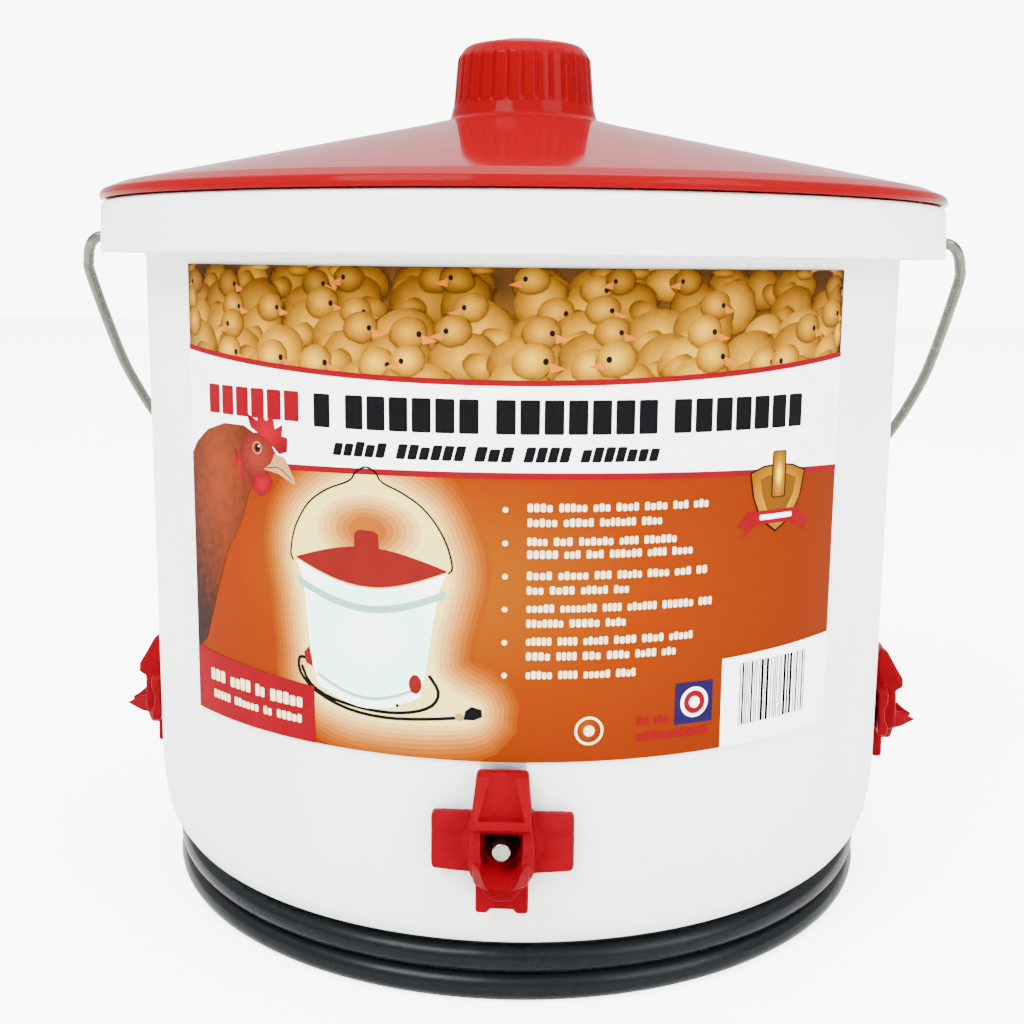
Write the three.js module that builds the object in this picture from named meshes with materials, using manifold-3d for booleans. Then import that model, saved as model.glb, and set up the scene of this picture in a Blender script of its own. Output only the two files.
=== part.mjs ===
// Heated poultry drinker: a white pail with three side drinking nipples, a red cone lid, a wire bail,
// and a heater chamber in the base with its mains cord wound round it.
// Millimetres, +Z up, the front nipple faces -Y, the origin is the middle of the base's underside.
import * as THREE from 'three';
import { mergeVertices } from 'three/addons/utils/BufferGeometryUtils.js';
import Module from 'manifold-3d';

const wasm = await Module();
wasm.setup();

// Driving dimensions
const gap = 0.3;                 // clearance between pieces that touch
const roundSegments = 64;        // facets round the big turned pieces
const rimRadius = 140;
const rimTopZ = 220.4;
const skirtBottomZ = 204.2;
const wallTopRadius = 126.2;     // outer wall just under the rim
const wallBaseRadius = 122.3;    // outer wall above the bottom corner
const wallBaseZ = 33;
const wallThickness = 2.5;
const undersideZ = 17.2;         // pail's flat underside
const floorThickness = 3.8;
const panRadius = 108.6;
const panHeight = 16.8;
const panThickness = 2.5;
const panFloorZ = 2;             // the pan's floor stands clear of the ground
const panFloorTopZ = 4.4;
const coneApexZ = 255.5;
const coneSlope = 0.2204;
const knobTopZ = 278.4;
const fluteCount = 30;
const pivotZ = 210;
const wireRadius = 1.9;
const bailReach = 212;           // pivot axis to the top of the hump
const bailDrop = 48.6;           // degrees below horizontal at rest
const nippleZ = 50.4;
const cordRadius = 3.9;
const coilRadius = 112.8;
const pocketAngle = 150;         // degrees, where the cord recess is cut in the pan
const pocketDistance = 94;       // strain relief's axis to the pail's axis

const radians = (degrees) => degrees * Math.PI / 180;
const wallRadiusAt = (z) =>
  wallBaseRadius + (z - wallBaseZ) * (wallTopRadius - wallBaseRadius) / (skirtBottomZ - wallBaseZ);
const coneZ = (radius) => coneApexZ - coneSlope * radius;

// Solids
function bare(geometry) {
  const copy = geometry.index ? geometry.toNonIndexed() : geometry.clone();
  copy.deleteAttribute('normal');
  copy.deleteAttribute('uv');
  return mergeVertices(copy, 1e-4);
}

function solid(geometry) {
  const merged = bare(geometry);
  const vertices = Float32Array.from(merged.attributes.position.array);
  const corners = Uint32Array.from(merged.index.array);
  let volume = 0;
  const point = (corner) => new THREE.Vector3().fromArray(vertices, corners[corner] * 3);
  for (let i = 0; i < corners.length; i += 3) {
    volume += point(i).dot(point(i + 1).cross(point(i + 2)));
  }
  if (volume < 0) {
    for (let i = 0; i < corners.length; i += 3) {
      [corners[i], corners[i + 1]] = [corners[i + 1], corners[i]];
    }
  }
  return new wasm.Manifold(new wasm.Mesh({ numProp: 3, vertProperties: vertices, triVerts: corners }));
}

function geometryOf(manifold) {
  const mesh = manifold.getMesh();
  const geometry = new THREE.BufferGeometry();
  geometry.setAttribute('position', new THREE.BufferAttribute(Float32Array.from(mesh.vertProperties), 3));
  geometry.setIndex(new THREE.BufferAttribute(Uint32Array.from(mesh.triVerts), 1));
  geometry.computeVertexNormals();
  return geometry;
}

const points = (pairs) => pairs.map(([x, y]) => new THREE.Vector2(x, y));

// Turns a (radius, z) outline about Z.
function turned(pairs, segments = roundSegments) {
  return solid(new THREE.LatheGeometry(points(pairs), segments).rotateX(Math.PI / 2));
}

// A ring's outline doesn't touch the axis, so it closes on itself.
const turnedRing = (pairs, segments = roundSegments) => turned([...pairs, pairs[0]], segments);

// A plain cylinder between two points.
function rod(from, to, radius, endRadius = radius, sides = 24) {
  const start = new THREE.Vector3(...from);
  const along = new THREE.Vector3(...to).sub(start);
  const geometry = new THREE.CylinderGeometry(endRadius, radius, along.length(), sides);
  geometry.translate(0, along.length() / 2, 0);
  const turn = new THREE.Quaternion().setFromUnitVectors(new THREE.Vector3(0, 1, 0), along.normalize());
  geometry.applyQuaternion(turn).translate(start.x, start.y, start.z);
  return solid(geometry);
}

function block(low, high) {
  const size = high.map((value, axis) => value - low[axis]);
  const geometry = new THREE.BoxGeometry(...size);
  geometry.translate(...low.map((value, axis) => value + size[axis] / 2));
  return solid(geometry);
}

function circleShape(radius, sides) {
  const shape = new THREE.Shape();
  for (let i = 0; i < sides; i += 1) {
    const angle = 2 * Math.PI * i / sides;
    const move = i ? 'lineTo' : 'moveTo';
    shape[move](radius * Math.cos(angle), radius * Math.sin(angle));
  }
  return shape;
}

// A tube along a smooth route through the points.
function tube(route, radius, sides, steps) {
  const curve = new THREE.CatmullRomCurve3(route.map((p) => new THREE.Vector3(...p)), false, 'centripetal');
  return new THREE.ExtrudeGeometry(circleShape(radius, sides), { steps, extrudePath: curve, bevelEnabled: false });
}

// An outline in (y, z) pushed along X, in a nipple's own frame where X points away from the pail.
function pushedOut(outline, fromX, toX) {
  const depth = toX - fromX;
  const geometry = new THREE.ExtrudeGeometry(outline, { depth, bevelEnabled: false, curveSegments: 4 });
  const axes = new THREE.Matrix4().makeBasis(
    new THREE.Vector3(0, 1, 0), new THREE.Vector3(0, 0, 1), new THREE.Vector3(1, 0, 0));
  return solid(geometry.applyMatrix4(axes).translate(fromX, 0, 0));
}

// An outline in (x, z) pushed sideways, centred on y = 0.
function pushedAcross(pairs, width) {
  const geometry = new THREE.ExtrudeGeometry(new THREE.Shape(points(pairs)), { depth: width, bevelEnabled: false });
  return solid(geometry.rotateX(Math.PI / 2).translate(0, width / 2, 0));
}

const part = new THREE.Group();
const finishes = {
  whitePlastic: { color: 0xf1f0eb, roughness: 0.42, metalness: 0 },
  redPlastic: { color: 0xc8201f, roughness: 0.18, metalness: 0 },
  nippleRed: { color: 0xc9141c, roughness: 0.4, metalness: 0 },
  galvanised: { color: 0xa6a59b, roughness: 0.35, metalness: 1 },
  steel: { color: 0xc9c8c2, roughness: 0.25, metalness: 1 },
  brass: { color: 0xb8963e, roughness: 0.3, metalness: 1 },
  aluminium: { color: 0xc4c6c8, roughness: 0.35, metalness: 1 },
  printedLabel: { color: 0xe08a20, roughness: 0.3, metalness: 0 },
  blackVinyl: { color: 0x221c1c, roughness: 0.32, metalness: 0 },
  blackRubber: { color: 0x1b1b1b, roughness: 0.7, metalness: 0 },
  fibre: { color: 0xd8cfae, roughness: 0.95, metalness: 0 },
  whiteWire: { color: 0xe6e4dd, roughness: 0.45, metalness: 0 },
  greenWire: { color: 0x2c7a3d, roughness: 0.45, metalness: 0 },
  bakelite: { color: 0x3a2418, roughness: 0.5, metalness: 0 },
};

function addPiece(name, shape, finish, parent = part) {
  const geometry = shape instanceof THREE.BufferGeometry ? shape : geometryOf(shape);
  const mesh = new THREE.Mesh(geometry, new THREE.MeshStandardMaterial(finishes[finish]));
  mesh.name = name;
  parent.add(mesh);
  return mesh;
}

// Nipples sit at the front, the right and the left.
const nippleSides = { front: -90, right: 0, left: 180 };
const shankRadius = 6.2;
const wallHoleRadius = shankRadius + 0.4;
const alongSide = (angle, radius, z) =>
  [radius * Math.cos(radians(angle)), radius * Math.sin(radians(angle)), z];

// Screws through the pan into the pail's bosses, clear of the cord recess.
const screwAngles = [25, 95, 215, 300];
const screwCircle = 92;

function pail() {
  const skirtThickness = 2.1;
  const skirtInner = rimRadius - skirtThickness;
  const rimUndersideZ = rimTopZ - 2.8;
  const floorTopZ = undersideZ + floorThickness;
  const mouthRadius = wallTopRadius - wallThickness;
  const standingRim = [[106.2, undersideZ], [106.8, 18.6], [112.6, 18.6], [113, 17.6], [115.2, 17.6]];
  const corner = [[116.6, 18.2], [118, 19.6], [119.6, 22.5], [121.2, 27.5], [wallBaseRadius, wallBaseZ]];
  const skirt = [
    [wallTopRadius, skirtBottomZ], [wallTopRadius + 0.2, rimUndersideZ - 1.2], [wallTopRadius + 1.4, rimUndersideZ],
    [skirtInner - 1.2, rimUndersideZ], [skirtInner, rimUndersideZ - 1.2], [skirtInner, skirtBottomZ + 0.5],
    [skirtInner + 0.5, skirtBottomZ], [rimRadius - 0.5, skirtBottomZ], [rimRadius, skirtBottomZ + 0.5],
  ];
  const rim = [
    [rimRadius - 0.3, rimTopZ - 2.4], [rimRadius - 0.9, rimTopZ - 0.8], [rimRadius - 2.4, rimTopZ],
    [mouthRadius + 1.8, rimTopZ], [mouthRadius + 0.5, rimTopZ - 0.5], [mouthRadius, rimTopZ - 1.8],
  ];
  const inside = [
    [wallBaseRadius - wallThickness, wallBaseZ], [118.7, 28], [117, 24.6], [113.5, 21.6], [111, floorTopZ],
    [0, floorTopZ],
  ];
  let shape = turned([[0, undersideZ], ...standingRim, ...corner, ...skirt, ...rim, ...inside]);
  for (const angle of Object.values(nippleSides)) {
    shape = shape.subtract(rod(alongSide(angle, 110, nippleZ), alongSide(angle, 130, nippleZ), wallHoleRadius));
  }
  for (const side of [-1, 1]) {
    const hole = wireRadius + 0.6;
    shape = shape.subtract(rod([side * (skirtInner - 3), 0, pivotZ], [side * (rimRadius + 2), 0, pivotZ], hole));
  }
  for (const angle of screwAngles) {
    const boss = rod(alongSide(angle, screwCircle, 5), alongSide(angle, screwCircle, undersideZ + 1), 4.4, 4.4, 16);
    const hole = rod(alongSide(angle, screwCircle, 4), alongSide(angle, screwCircle, 15), 2, 2, 12);
    shape = shape.add(boss).subtract(hole);
  }
  return shape;
}

function lid() {
  const lipRadius = 140.3;
  const lipBottomZ = rimTopZ + gap;
  const shell = 2.4;
  const outside = [
    [0, knobTopZ], [14, 278], [18.8, 276.6], [21.6, 274], [22.7, 270], [24, 255.6], [24.6, 252.6], [26.8, 250.3],
    [32, 248.5], [43, coneZ(43)], [134.5, coneZ(134.5)], [138.2, 224.6], [139.8, 223], [lipRadius, 221.8],
    [lipRadius - 0.5, lipBottomZ],
  ];
  const locatingRing = [
    [132, lipBottomZ], [131.4, coneZ(131.4) - shell], [123.2, coneZ(123.2) - shell], [122.8, 214.3], [120.6, 214.3],
    [120.2, coneZ(120.2) - shell],
  ];
  const underside = [
    [34, coneZ(34) - shell], [27, 246.8], [22.6, 249.4], [21.8, 254], [20.4, 270], [18.4, 274], [14, 275.6], [0, 276],
  ];
  let shape = turned([...outside, ...locatingRing, ...underside]);
  for (let i = 0; i < fluteCount; i += 1) {
    const angle = 360 * (i + 0.5) / fluteCount;
    shape = shape.subtract(rod(alongSide(angle, 25.1, 256.6), alongSide(angle, 23.6, 281), 1.7, 1.7, 8));
  }
  return shape;
}

// The bail is drawn as (x, distance from the pivot axis), then laid back against the rear wall.
function bailSide(side) {
  const halfWidth = 156;
  const shoulderBase = 20;
  const shoulderHeight = 170;
  const squareness = 0.8;
  const stub = [[131, 0], [138, 0], [145, 0], [149.6, 0.9], [152.6, 4.4], [154.9, 10.8], [halfWidth, shoulderBase]];
  const sweep = [];
  for (let angle = 9; angle <= 75; angle += 6) {
    const across = Math.cos(radians(angle)) ** squareness;
    const along = Math.sin(radians(angle)) ** squareness;
    sweep.push([halfWidth * across, shoulderBase + shoulderHeight * along]);
  }
  const hump = [[31, 189.4], [24.5, 192.4], [19, 198.6], [12.8, 206.6], [6.6, 210.9]];
  return [...stub, ...sweep, ...hump].map(([x, reach]) => [side * x, reach]);
}

function bail() {
  const drop = radians(bailDrop);
  const laid = ([x, reach]) => [x, reach * Math.cos(drop), pivotZ - reach * Math.sin(drop)];
  const route = [...bailSide(-1), [0, bailReach], ...bailSide(1).reverse()].map(laid);
  let shape = solid(tube(route, wireRadius, 8, 110));
  for (const side of [-1, 1]) {
    const head = rod([side * 130.2, 0, pivotZ], [side * 131.8, 0, pivotZ], 3.2, 3.2, 12);
    shape = shape.add(head);
  }
  return shape;
}

// The printed label covers the front of the wall between the skirt and the front nipple.
function label() {
  const bottomZ = 71;
  const topZ = 201;
  const halfAngle = 47.3;
  const sheet = 0.35;
  const standOff = gap + 0.05;
  const ring = turnedRing([
    [wallRadiusAt(bottomZ) + standOff, bottomZ], [wallRadiusAt(bottomZ) + standOff + sheet, bottomZ],
    [wallRadiusAt(topZ) + standOff + sheet, topZ], [wallRadiusAt(topZ) + standOff, topZ],
  ]);
  const reach = 200;
  const wedge = new THREE.Shape(points([
    [0, 0], [-reach * Math.tan(radians(halfAngle)), -reach], [reach * Math.tan(radians(halfAngle)), -reach],
  ]));
  const slice = new THREE.ExtrudeGeometry(wedge, { depth: topZ, bevelEnabled: false }).translate(0, 0, bottomZ / 2);
  return ring.intersect(solid(slice));
}

// Frame of the cord recess: x along the cord's way out, y towards the pail's rim, z up.
const pocketTurn = new THREE.Matrix4().makeRotationZ(radians(pocketAngle - 90));
const inPocket = (shape) => solid(geometryOf(shape).applyMatrix4(pocketTurn));
const pocketPoint = (x, y, z) => new THREE.Vector3(x, y, z).applyMatrix4(pocketTurn).toArray();

function basePan() {
  const padRadius = 20;
  const footInner = 100;
  const pocketWallY = pocketDistance - 6.2;
  const pocketEndX = -14;
  const outline = [
    [0, 0], [padRadius, 0], [padRadius + 1.2, panFloorZ], [footInner, panFloorZ], [footInner + 1.5, 0],
    [panRadius - 1, 0], [panRadius, 1], [panRadius, panHeight], [panRadius - panThickness, panHeight],
    [panRadius - panThickness, panFloorTopZ], [0, panFloorTopZ],
  ];
  const inner = 2;
  const whole = turned([[0, 0], [panRadius, 0], [panRadius, panHeight], [0, panHeight]]);
  const opened = block([pocketEndX, pocketWallY, -1], [90, 130, 30]);
  const walls = block([pocketEndX - inner, pocketWallY - inner, 0], [90, 130, panHeight]);
  let shape = turned(outline).add(whole.intersect(inPocket(walls))).subtract(inPocket(opened));
  const fromCollar = pocketPoint(pocketEndX - 5.3, pocketDistance, 6.4);
  shape = shape.subtract(rod(fromCollar, pocketPoint(pocketEndX + 1, pocketDistance, 6.4), 5.5));
  shape = shape.subtract(rod(fromCollar, pocketPoint(pocketEndX - 2, pocketDistance, 6.4), 6.6));
  for (const angle of screwAngles) {
    shape = shape.subtract(rod(alongSide(angle, screwCircle, -1), alongSide(angle, screwCircle, 4.9), 2.2, 2.2, 12));
  }
  const vent = rod(alongSide(-62, 100, 9.5), alongSide(-62, 112, 9.5), 2.4, 2.4, 12);
  return shape.subtract(vent);
}

function screw(angle) {
  const head = rod(alongSide(angle, screwCircle, 0.3), alongSide(angle, screwCircle, 1.7), 3.7, 3.7, 16);
  const shank = rod(alongSide(angle, screwCircle, 1.6), alongSide(angle, screwCircle, 13), 1.6, 1.6, 10);
  return head.add(shank);
}

// Flange outline of a nipple in (y, z): four arms, with two nubs under the lower one.
function crossOutline() {
  const armReach = 17.8;
  const armHalfHeight = 7.6;
  const postTop = 18.1;
  const postHalfWidth = 6.65;
  const nub = 3;
  const nubDepth = 1.4;
  const soft = 1.4;
  const shape = new THREE.Shape();
  const corners = [
    [postHalfWidth, postTop], [postHalfWidth, armHalfHeight], [armReach, armHalfHeight],
    [armReach, -armHalfHeight], [postHalfWidth, -armHalfHeight], [postHalfWidth, -postTop],
    [postHalfWidth - nub, -postTop], [postHalfWidth - nub, nubDepth - postTop],
    [nub - postHalfWidth, nubDepth - postTop], [nub - postHalfWidth, -postTop], [-postHalfWidth, -postTop],
    [-postHalfWidth, -armHalfHeight], [-armReach, -armHalfHeight], [-armReach, armHalfHeight],
    [-postHalfWidth, armHalfHeight], [-postHalfWidth, postTop],
  ];
  const rounded = new Set([0, 2, 3, 12, 13, 15]);
  corners.forEach(([y, z], i) => {
    const here = new THREE.Vector2(y, z);
    const before = new THREE.Vector2(...corners[(i + 15) % 16]).sub(here).setLength(soft).add(here);
    const after = new THREE.Vector2(...corners[(i + 1) % 16]).sub(here).setLength(soft).add(here);
    const move = i ? 'lineTo' : 'moveTo';
    if (rounded.has(i)) {
      shape[move](before.x, before.y);
      shape.quadraticCurveTo(here.x, here.y, after.x, after.y);
    } else {
      shape[move](here.x, here.y);
    }
  });
  return shape;
}

// A nipple's own frame: X away from the pail, Z up, origin on the pail's axis at the nipple's height.
const flangeBack = 124.5;
const flangeFace = 127.7;
const cupFace = 131;
const seatX = 113.2;             // shoulder that the valve seal lies against
const shankEndX = 105;

function nippleBody() {
  const shell = turnedRing([[flangeBack, -20], [flangeFace, -20], [flangeFace, 20], [flangeBack, 20]], 180);
  let shape = pushedOut(crossOutline(), 120, 135).intersect(shell);
  const cup = new THREE.Shape(points([
    [-8.5, 6], [-8.7, -2], [-8.3, -6.8], [-2.6, -12.6], [2.6, -12.6], [8.3, -6.8], [8.7, -2], [8.5, 6],
  ]));
  shape = shape.add(pushedOut(cup, flangeBack, cupFace));
  const awning = [[126, 16], [129, 15], [132, 11.5], [134, 8.4], [133.6, 6.2], [131.6, 4.9], [126, 4.4]];
  shape = shape.add(pushedAcross(awning, 13.2));
  const tongueSide = [[126, -2.6], [134, -3], [138.5, -3.6], [141, -5], [141.2, -6], [139.5, -7.2], [134, -8.2],
    [126, -8.6]];
  const tonguePlan = new THREE.Shape();
  tonguePlan.moveTo(125, -8.2);
  tonguePlan.lineTo(131, -8.2);
  tonguePlan.quadraticCurveTo(138.5, -6, 141.2, 0);
  tonguePlan.quadraticCurveTo(138.5, 6, 131, 8.2);
  tonguePlan.lineTo(125, 8.2);
  const plan = new THREE.ExtrudeGeometry(tonguePlan, { depth: 20, bevelEnabled: false, curveSegments: 5 });
  shape = shape.add(pushedAcross(tongueSide, 20).intersect(solid(plan.translate(0, 0, -15))));
  shape = shape.add(rod([shankEndX, 0, 0], [flangeBack + 1, 0, 0], shankRadius));
  const chamber = rod([shankEndX - 1, 0, 0], [seatX, 0, 0], 4.8, 4.8, 20);
  const throat = rod([seatX - 1, 0, 0], [135, 0, 0], 3.2, 6.2, 20);
  return shape.subtract(chamber).subtract(throat);
}

function nippleGasket() {
  const shell = turnedRing([[123.3, -14], [flangeBack - gap, -14], [flangeBack - gap, 14], [123.3, 14]], 180);
  const disc = rod([118, 0, 0], [130, 0, 0], 11.2).subtract(rod([117, 0, 0], [131, 0, 0], shankRadius + gap));
  return shell.intersect(disc);
}

const nippleNut = () =>
  rod([114.6, 0, 0], [119.3, 0, 0], 9.8, 9.8, 6).subtract(rod([114, 0, 0], [120, 0, 0], shankRadius + gap));

function nippleCap() {
  let shape = rod([shankEndX - 3, 0, 0], [shankEndX - gap, 0, 0], 6.2);
  for (const angle of [90, 210, 330]) {
    const y = 3 * Math.cos(radians(angle));
    const z = 3 * Math.sin(radians(angle));
    shape = shape.subtract(rod([shankEndX - 4, y, z], [shankEndX + 1, y, z], 1.1, 1.1, 8));
  }
  return shape;
}

const nippleSeal = () =>
  rod([seatX - 0.7, 0, 0], [seatX - gap, 0, 0], 4.5).subtract(rod([seatX - 2, 0, 0], [seatX + 1, 0, 0], 3.1));

function nipplePin() {
  const tip = rod([132.6, 0, 0], [133.3, 0, 0], 2.45, 1.9);
  return rod([110.2, 0, 0], [111.7, 0, 0], 4.1).add(rod([111.6, 0, 0], [132.6, 0, 0], 2.45)).add(tip);
}

function nippleSpring() {
  const turns = 3;
  const route = [];
  for (let i = 0; i <= turns * 10; i += 1) {
    const angle = 2 * Math.PI * i / 10;
    const along = 0.45 + 3.7 * i / (turns * 10);
    route.push([shankEndX + along, 3.2 * Math.cos(angle), 3.2 * Math.sin(angle)]);
  }
  return tube(route, 0.35, 5, turns * 12);
}

// Heater parts under the pail's floor, seen from below they lie between the pan and the spreader plate.
const plateZ = 16;
const elementZ = 13.3;
const wireZ = 9.1;

const heatSpreader = () => turned([[0, plateZ], [78, plateZ], [78, undersideZ - gap], [0, undersideZ - gap]], 48);
const insulationPad = () => turned([[0, 4.8], [80, 4.8], [80, 7], [0, 7]], 48);

function arcRoute(radius, from, to, z, step = 12) {
  const route = [];
  const count = Math.ceil(Math.abs(to - from) / step);
  for (let i = 0; i <= count; i += 1) {
    route.push(alongSide(from + (to - from) * i / count, radius, z));
  }
  return route;
}

const heatingElement = () => tube(arcRoute(58, 160, -150, elementZ), 2.2, 8, 40);

function thermostatBracket() {
  const strap = block([-15, -3, 8.7], [15, 3, 9.5]);
  const feet = [-1, 1].map((side) => block([side * 13 - 1.2, -3, 9.2], [side * 13 + 1.2, 3, plateZ - gap]));
  return strap.add(feet[0]).add(feet[1]);
}

// Cord: out of the recess, two turns round the pan, then its lead lies behind the drinker.
const reliefStart = -12;
const reliefEnd = 13;

function strainRelief() {
  const at = (x, z) => pocketPoint(x, pocketDistance, z);
  const sleeve = rod(at(-18.6, 6.4), at(reliefEnd, 4.9), 5, 4.5, 16);
  const collar = rod(at(-18.8, 6.4), at(-16.4, 6.4), 6.1, 6.1, 16);
  const bead = rod(at(-13.6, 6.2), at(reliefStart, 6.1), 5.7, 5.7, 16);
  return sleeve.add(collar).add(bead);
}

const cordLeadIn = () => {
  const at = (x, z) => pocketPoint(x, pocketDistance, z);
  return tube([at(reliefEnd + gap, 4.8), at(22, 4.4), at(30, 4.2), at(38, 4.1)], cordRadius, 12, 4);
};

function coil() {
  const inner = coilRadius - cordRadius;
  const outer = coilRadius + cordRadius;
  const height = 4 * cordRadius;
  const soft = 1.6;
  return turnedRing([
    [inner + soft, 0], [outer - soft, 0], [outer, soft], [outer, height - soft], [outer - soft, height],
    [inner + soft, height], [inner, height - soft], [inner, soft],
  ]);
}

// The lead's way behind the pan as (degrees, radius, z), from where it leaves the turns to the plug.
const tailRoute = [
  [164, 121.1, 3.9], [156, 121.2, 3.9], [148, 121.2, 3.9], [140, 121.2, 3.9], [132, 121.2, 3.9], [124, 121.2, 3.9],
  [118, 121.2, 3.9], [110, 122.4, 4], [103, 125.2, 5.2], [97, 129, 7.6], [92.5, 131.6, 9.3], [87.7, 131.7, 9.6],
];
const cordTail = () => tube(tailRoute.map(([angle, radius, z]) => alongSide(angle, radius, z)), cordRadius, 12, 18);

// The plug lies flat behind the drinker. Its frame: x towards the prongs.
const plugGroup = new THREE.Group();
plugGroup.position.set(6, 131.5, 9.6);
plugGroup.rotation.z = radians(-4);

function plugBody() {
  const neck = rod([0, 0, 0], [22, 0, 0], 5.2, 6.8, 16);
  const outline = new THREE.Shape(points([
    [20, -7], [25, -12], [31, -13], [48, -13], [50, -11.5], [50, 11.5], [48, 13], [31, 13], [25, 12], [20, 7],
  ]));
  const housing = new THREE.ExtrudeGeometry(outline, {
    depth: 15, bevelEnabled: true, bevelSize: 1.6, bevelThickness: 1.6, bevelOffset: -1.6, bevelSegments: 1,
  });
  let shape = neck.add(solid(housing.translate(0, 0, -7.5)));
  for (const side of [-1, 1]) {
    shape = shape.subtract(block([43, side * 6.35 - 1.1, 0.3 - 3.5], [52, side * 6.35 + 1.1, 0.3 + 3.5]));
  }
  return shape.subtract(rod([43, 0, -4.6], [52, 0, -4.6], 2.7, 2.7, 12));
}

const plugBlade = (side) => block([43.4, side * 6.35 - 0.75, 0.3 - 3.15], [66.5, side * 6.35 + 0.75, 0.3 + 3.15]);
const plugGroundPin = () => rod([43.4, 0, -4.6], [68.5, 0, -4.6], 2.3, 2.3, 12);

// Assembly
addPiece('pail', pail(), 'whitePlastic');
addPiece('lid', lid(), 'redPlastic');
addPiece('bail', bail(), 'galvanised');
addPiece('label', label(), 'printedLabel');
addPiece('base_pan', basePan(), 'whitePlastic');
screwAngles.forEach((angle, i) => addPiece(`pan_screw_${i + 1}`, screw(angle), 'steel'));

for (const [side, angle] of Object.entries(nippleSides)) {
  const nipple = new THREE.Group();
  nipple.position.z = nippleZ;
  nipple.rotation.z = radians(angle);
  addPiece(`nipple_body_${side}`, nippleBody(), 'nippleRed', nipple);
  addPiece(`nipple_gasket_${side}`, nippleGasket(), 'blackRubber', nipple);
  addPiece(`nipple_nut_${side}`, nippleNut(), 'nippleRed', nipple);
  addPiece(`nipple_cap_${side}`, nippleCap(), 'nippleRed', nipple);
  addPiece(`nipple_seal_${side}`, nippleSeal(), 'blackRubber', nipple);
  addPiece(`nipple_pin_${side}`, nipplePin(), 'steel', nipple);
  addPiece(`nipple_spring_${side}`, nippleSpring(), 'steel', nipple);
  part.add(nipple);
}

addPiece('heat_spreader', heatSpreader(), 'aluminium');
addPiece('insulation_pad', insulationPad(), 'fibre');
addPiece('heating_element', heatingElement(), 'aluminium');
addPiece('thermostat', rod([0, 0, 9.9], [0, 0, plateZ - gap], 8, 8, 20), 'bakelite');
addPiece('thermostat_bracket', thermostatBracket(), 'steel');
addPiece('thermal_fuse', rod([-30, -32, wireZ], [-30, -20, wireZ], 1.7, 1.7, 12), 'steel');
addPiece('crimp_live', rod([-52, 30, wireZ], [-44, 26, wireZ], 1.7, 1.7, 10), 'whiteWire');
addPiece('crimp_neutral', rod([-60, 20.4, wireZ], [-62, 12, wireZ], 1.7, 1.7, 10), 'whiteWire');
const lead = (route, steps = 10) => tube(route, 1.1, 6, steps);
addPiece('wire_live', lead([[-70, 38, 9.4], [-64, 36, wireZ], [-58, 33, wireZ], [-52.7, 30.3, wireZ]], 6),
  'blackVinyl');
addPiece('wire_live_inner', lead([[-43.2, 25.6, wireZ], [-32, 19, wireZ], [-20, 9, 8.7], [-12, 5.2, 8.6]]),
  'blackVinyl');
addPiece('wire_fuse', lead([[-12, -6, 8.6], [-20, -11, 8.7], [-27, -14.4, wireZ], [-29.8, -19.3, wireZ]]),
  'blackVinyl');
addPiece('wire_element', lead([[-30.2, -32.7, wireZ], [-36, -38, wireZ], [-50, -40, wireZ], [-61, -34, 9.6],
  [-59, -23, 11.5], [-54, -22.5, 13.2], [-50.8, -27.9, elementZ]], 16), 'whiteWire');
addPiece('wire_neutral', lead([[-72, 36, 11.9], [-68, 31, 11.2], [-62.5, 26, 9.9], [-60.1, 21, wireZ]], 6),
  'whiteWire');
addPiece('wire_neutral_inner', lead([[-62.1, 11.6, wireZ], [-62.6, 5, 9.4], [-58.6, 4.4, 11.5], [-56.6, 10, 13],
  [-54.9, 19, elementZ]]), 'whiteWire');
addPiece('wire_ground', lead([[-75, 33, 9.2], [-70, 24, wireZ], [-69.5, 10, 9.4], [-68, -4, 11.5], [-66, -12, 14]]),
  'greenWire');
addPiece('strain_relief', strainRelief(), 'blackVinyl');

addPiece('cord_lead_in', cordLeadIn(), 'blackVinyl');
addPiece('cord_coil', coil(), 'blackVinyl');
addPiece('cord_tail', cordTail(), 'blackVinyl');
part.add(plugGroup);
addPiece('plug_body', plugBody(), 'blackVinyl', plugGroup);
addPiece('plug_blade_line', plugBlade(-1), 'brass', plugGroup);
addPiece('plug_blade_neutral', plugBlade(1), 'brass', plugGroup);
addPiece('plug_ground_pin', plugGroundPin(), 'brass', plugGroup);

export default part;
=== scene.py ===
# Heated poultry drinker: camera, light and cord first, then the pieces in the order they are put together.
import math
import random

import bmesh
import bpy
from mathutils import Matrix, Vector


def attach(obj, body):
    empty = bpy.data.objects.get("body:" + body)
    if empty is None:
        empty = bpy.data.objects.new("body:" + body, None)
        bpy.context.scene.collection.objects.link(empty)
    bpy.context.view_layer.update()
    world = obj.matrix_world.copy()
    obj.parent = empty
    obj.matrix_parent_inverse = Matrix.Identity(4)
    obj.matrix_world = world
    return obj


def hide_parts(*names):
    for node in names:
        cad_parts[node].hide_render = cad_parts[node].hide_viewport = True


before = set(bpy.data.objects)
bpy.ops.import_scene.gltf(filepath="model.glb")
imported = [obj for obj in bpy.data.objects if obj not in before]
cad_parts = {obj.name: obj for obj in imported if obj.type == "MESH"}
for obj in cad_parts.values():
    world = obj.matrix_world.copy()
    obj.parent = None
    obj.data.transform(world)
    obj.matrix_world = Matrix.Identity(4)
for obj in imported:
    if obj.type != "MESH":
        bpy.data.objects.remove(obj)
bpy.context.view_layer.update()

mm = 0.001


# camera, floor and light
shot = {
    "distance": 0.46702,
    "height": 0.20283,
    "turned": 0.0291,   # how far round from the front nipple the camera stands
    "pitch": 0.0817,
    "yaw": -0.0068,
    "roll": 0.0097,
    "lens": 47.10,
    "shiftUp": -0.1388,
}


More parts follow.
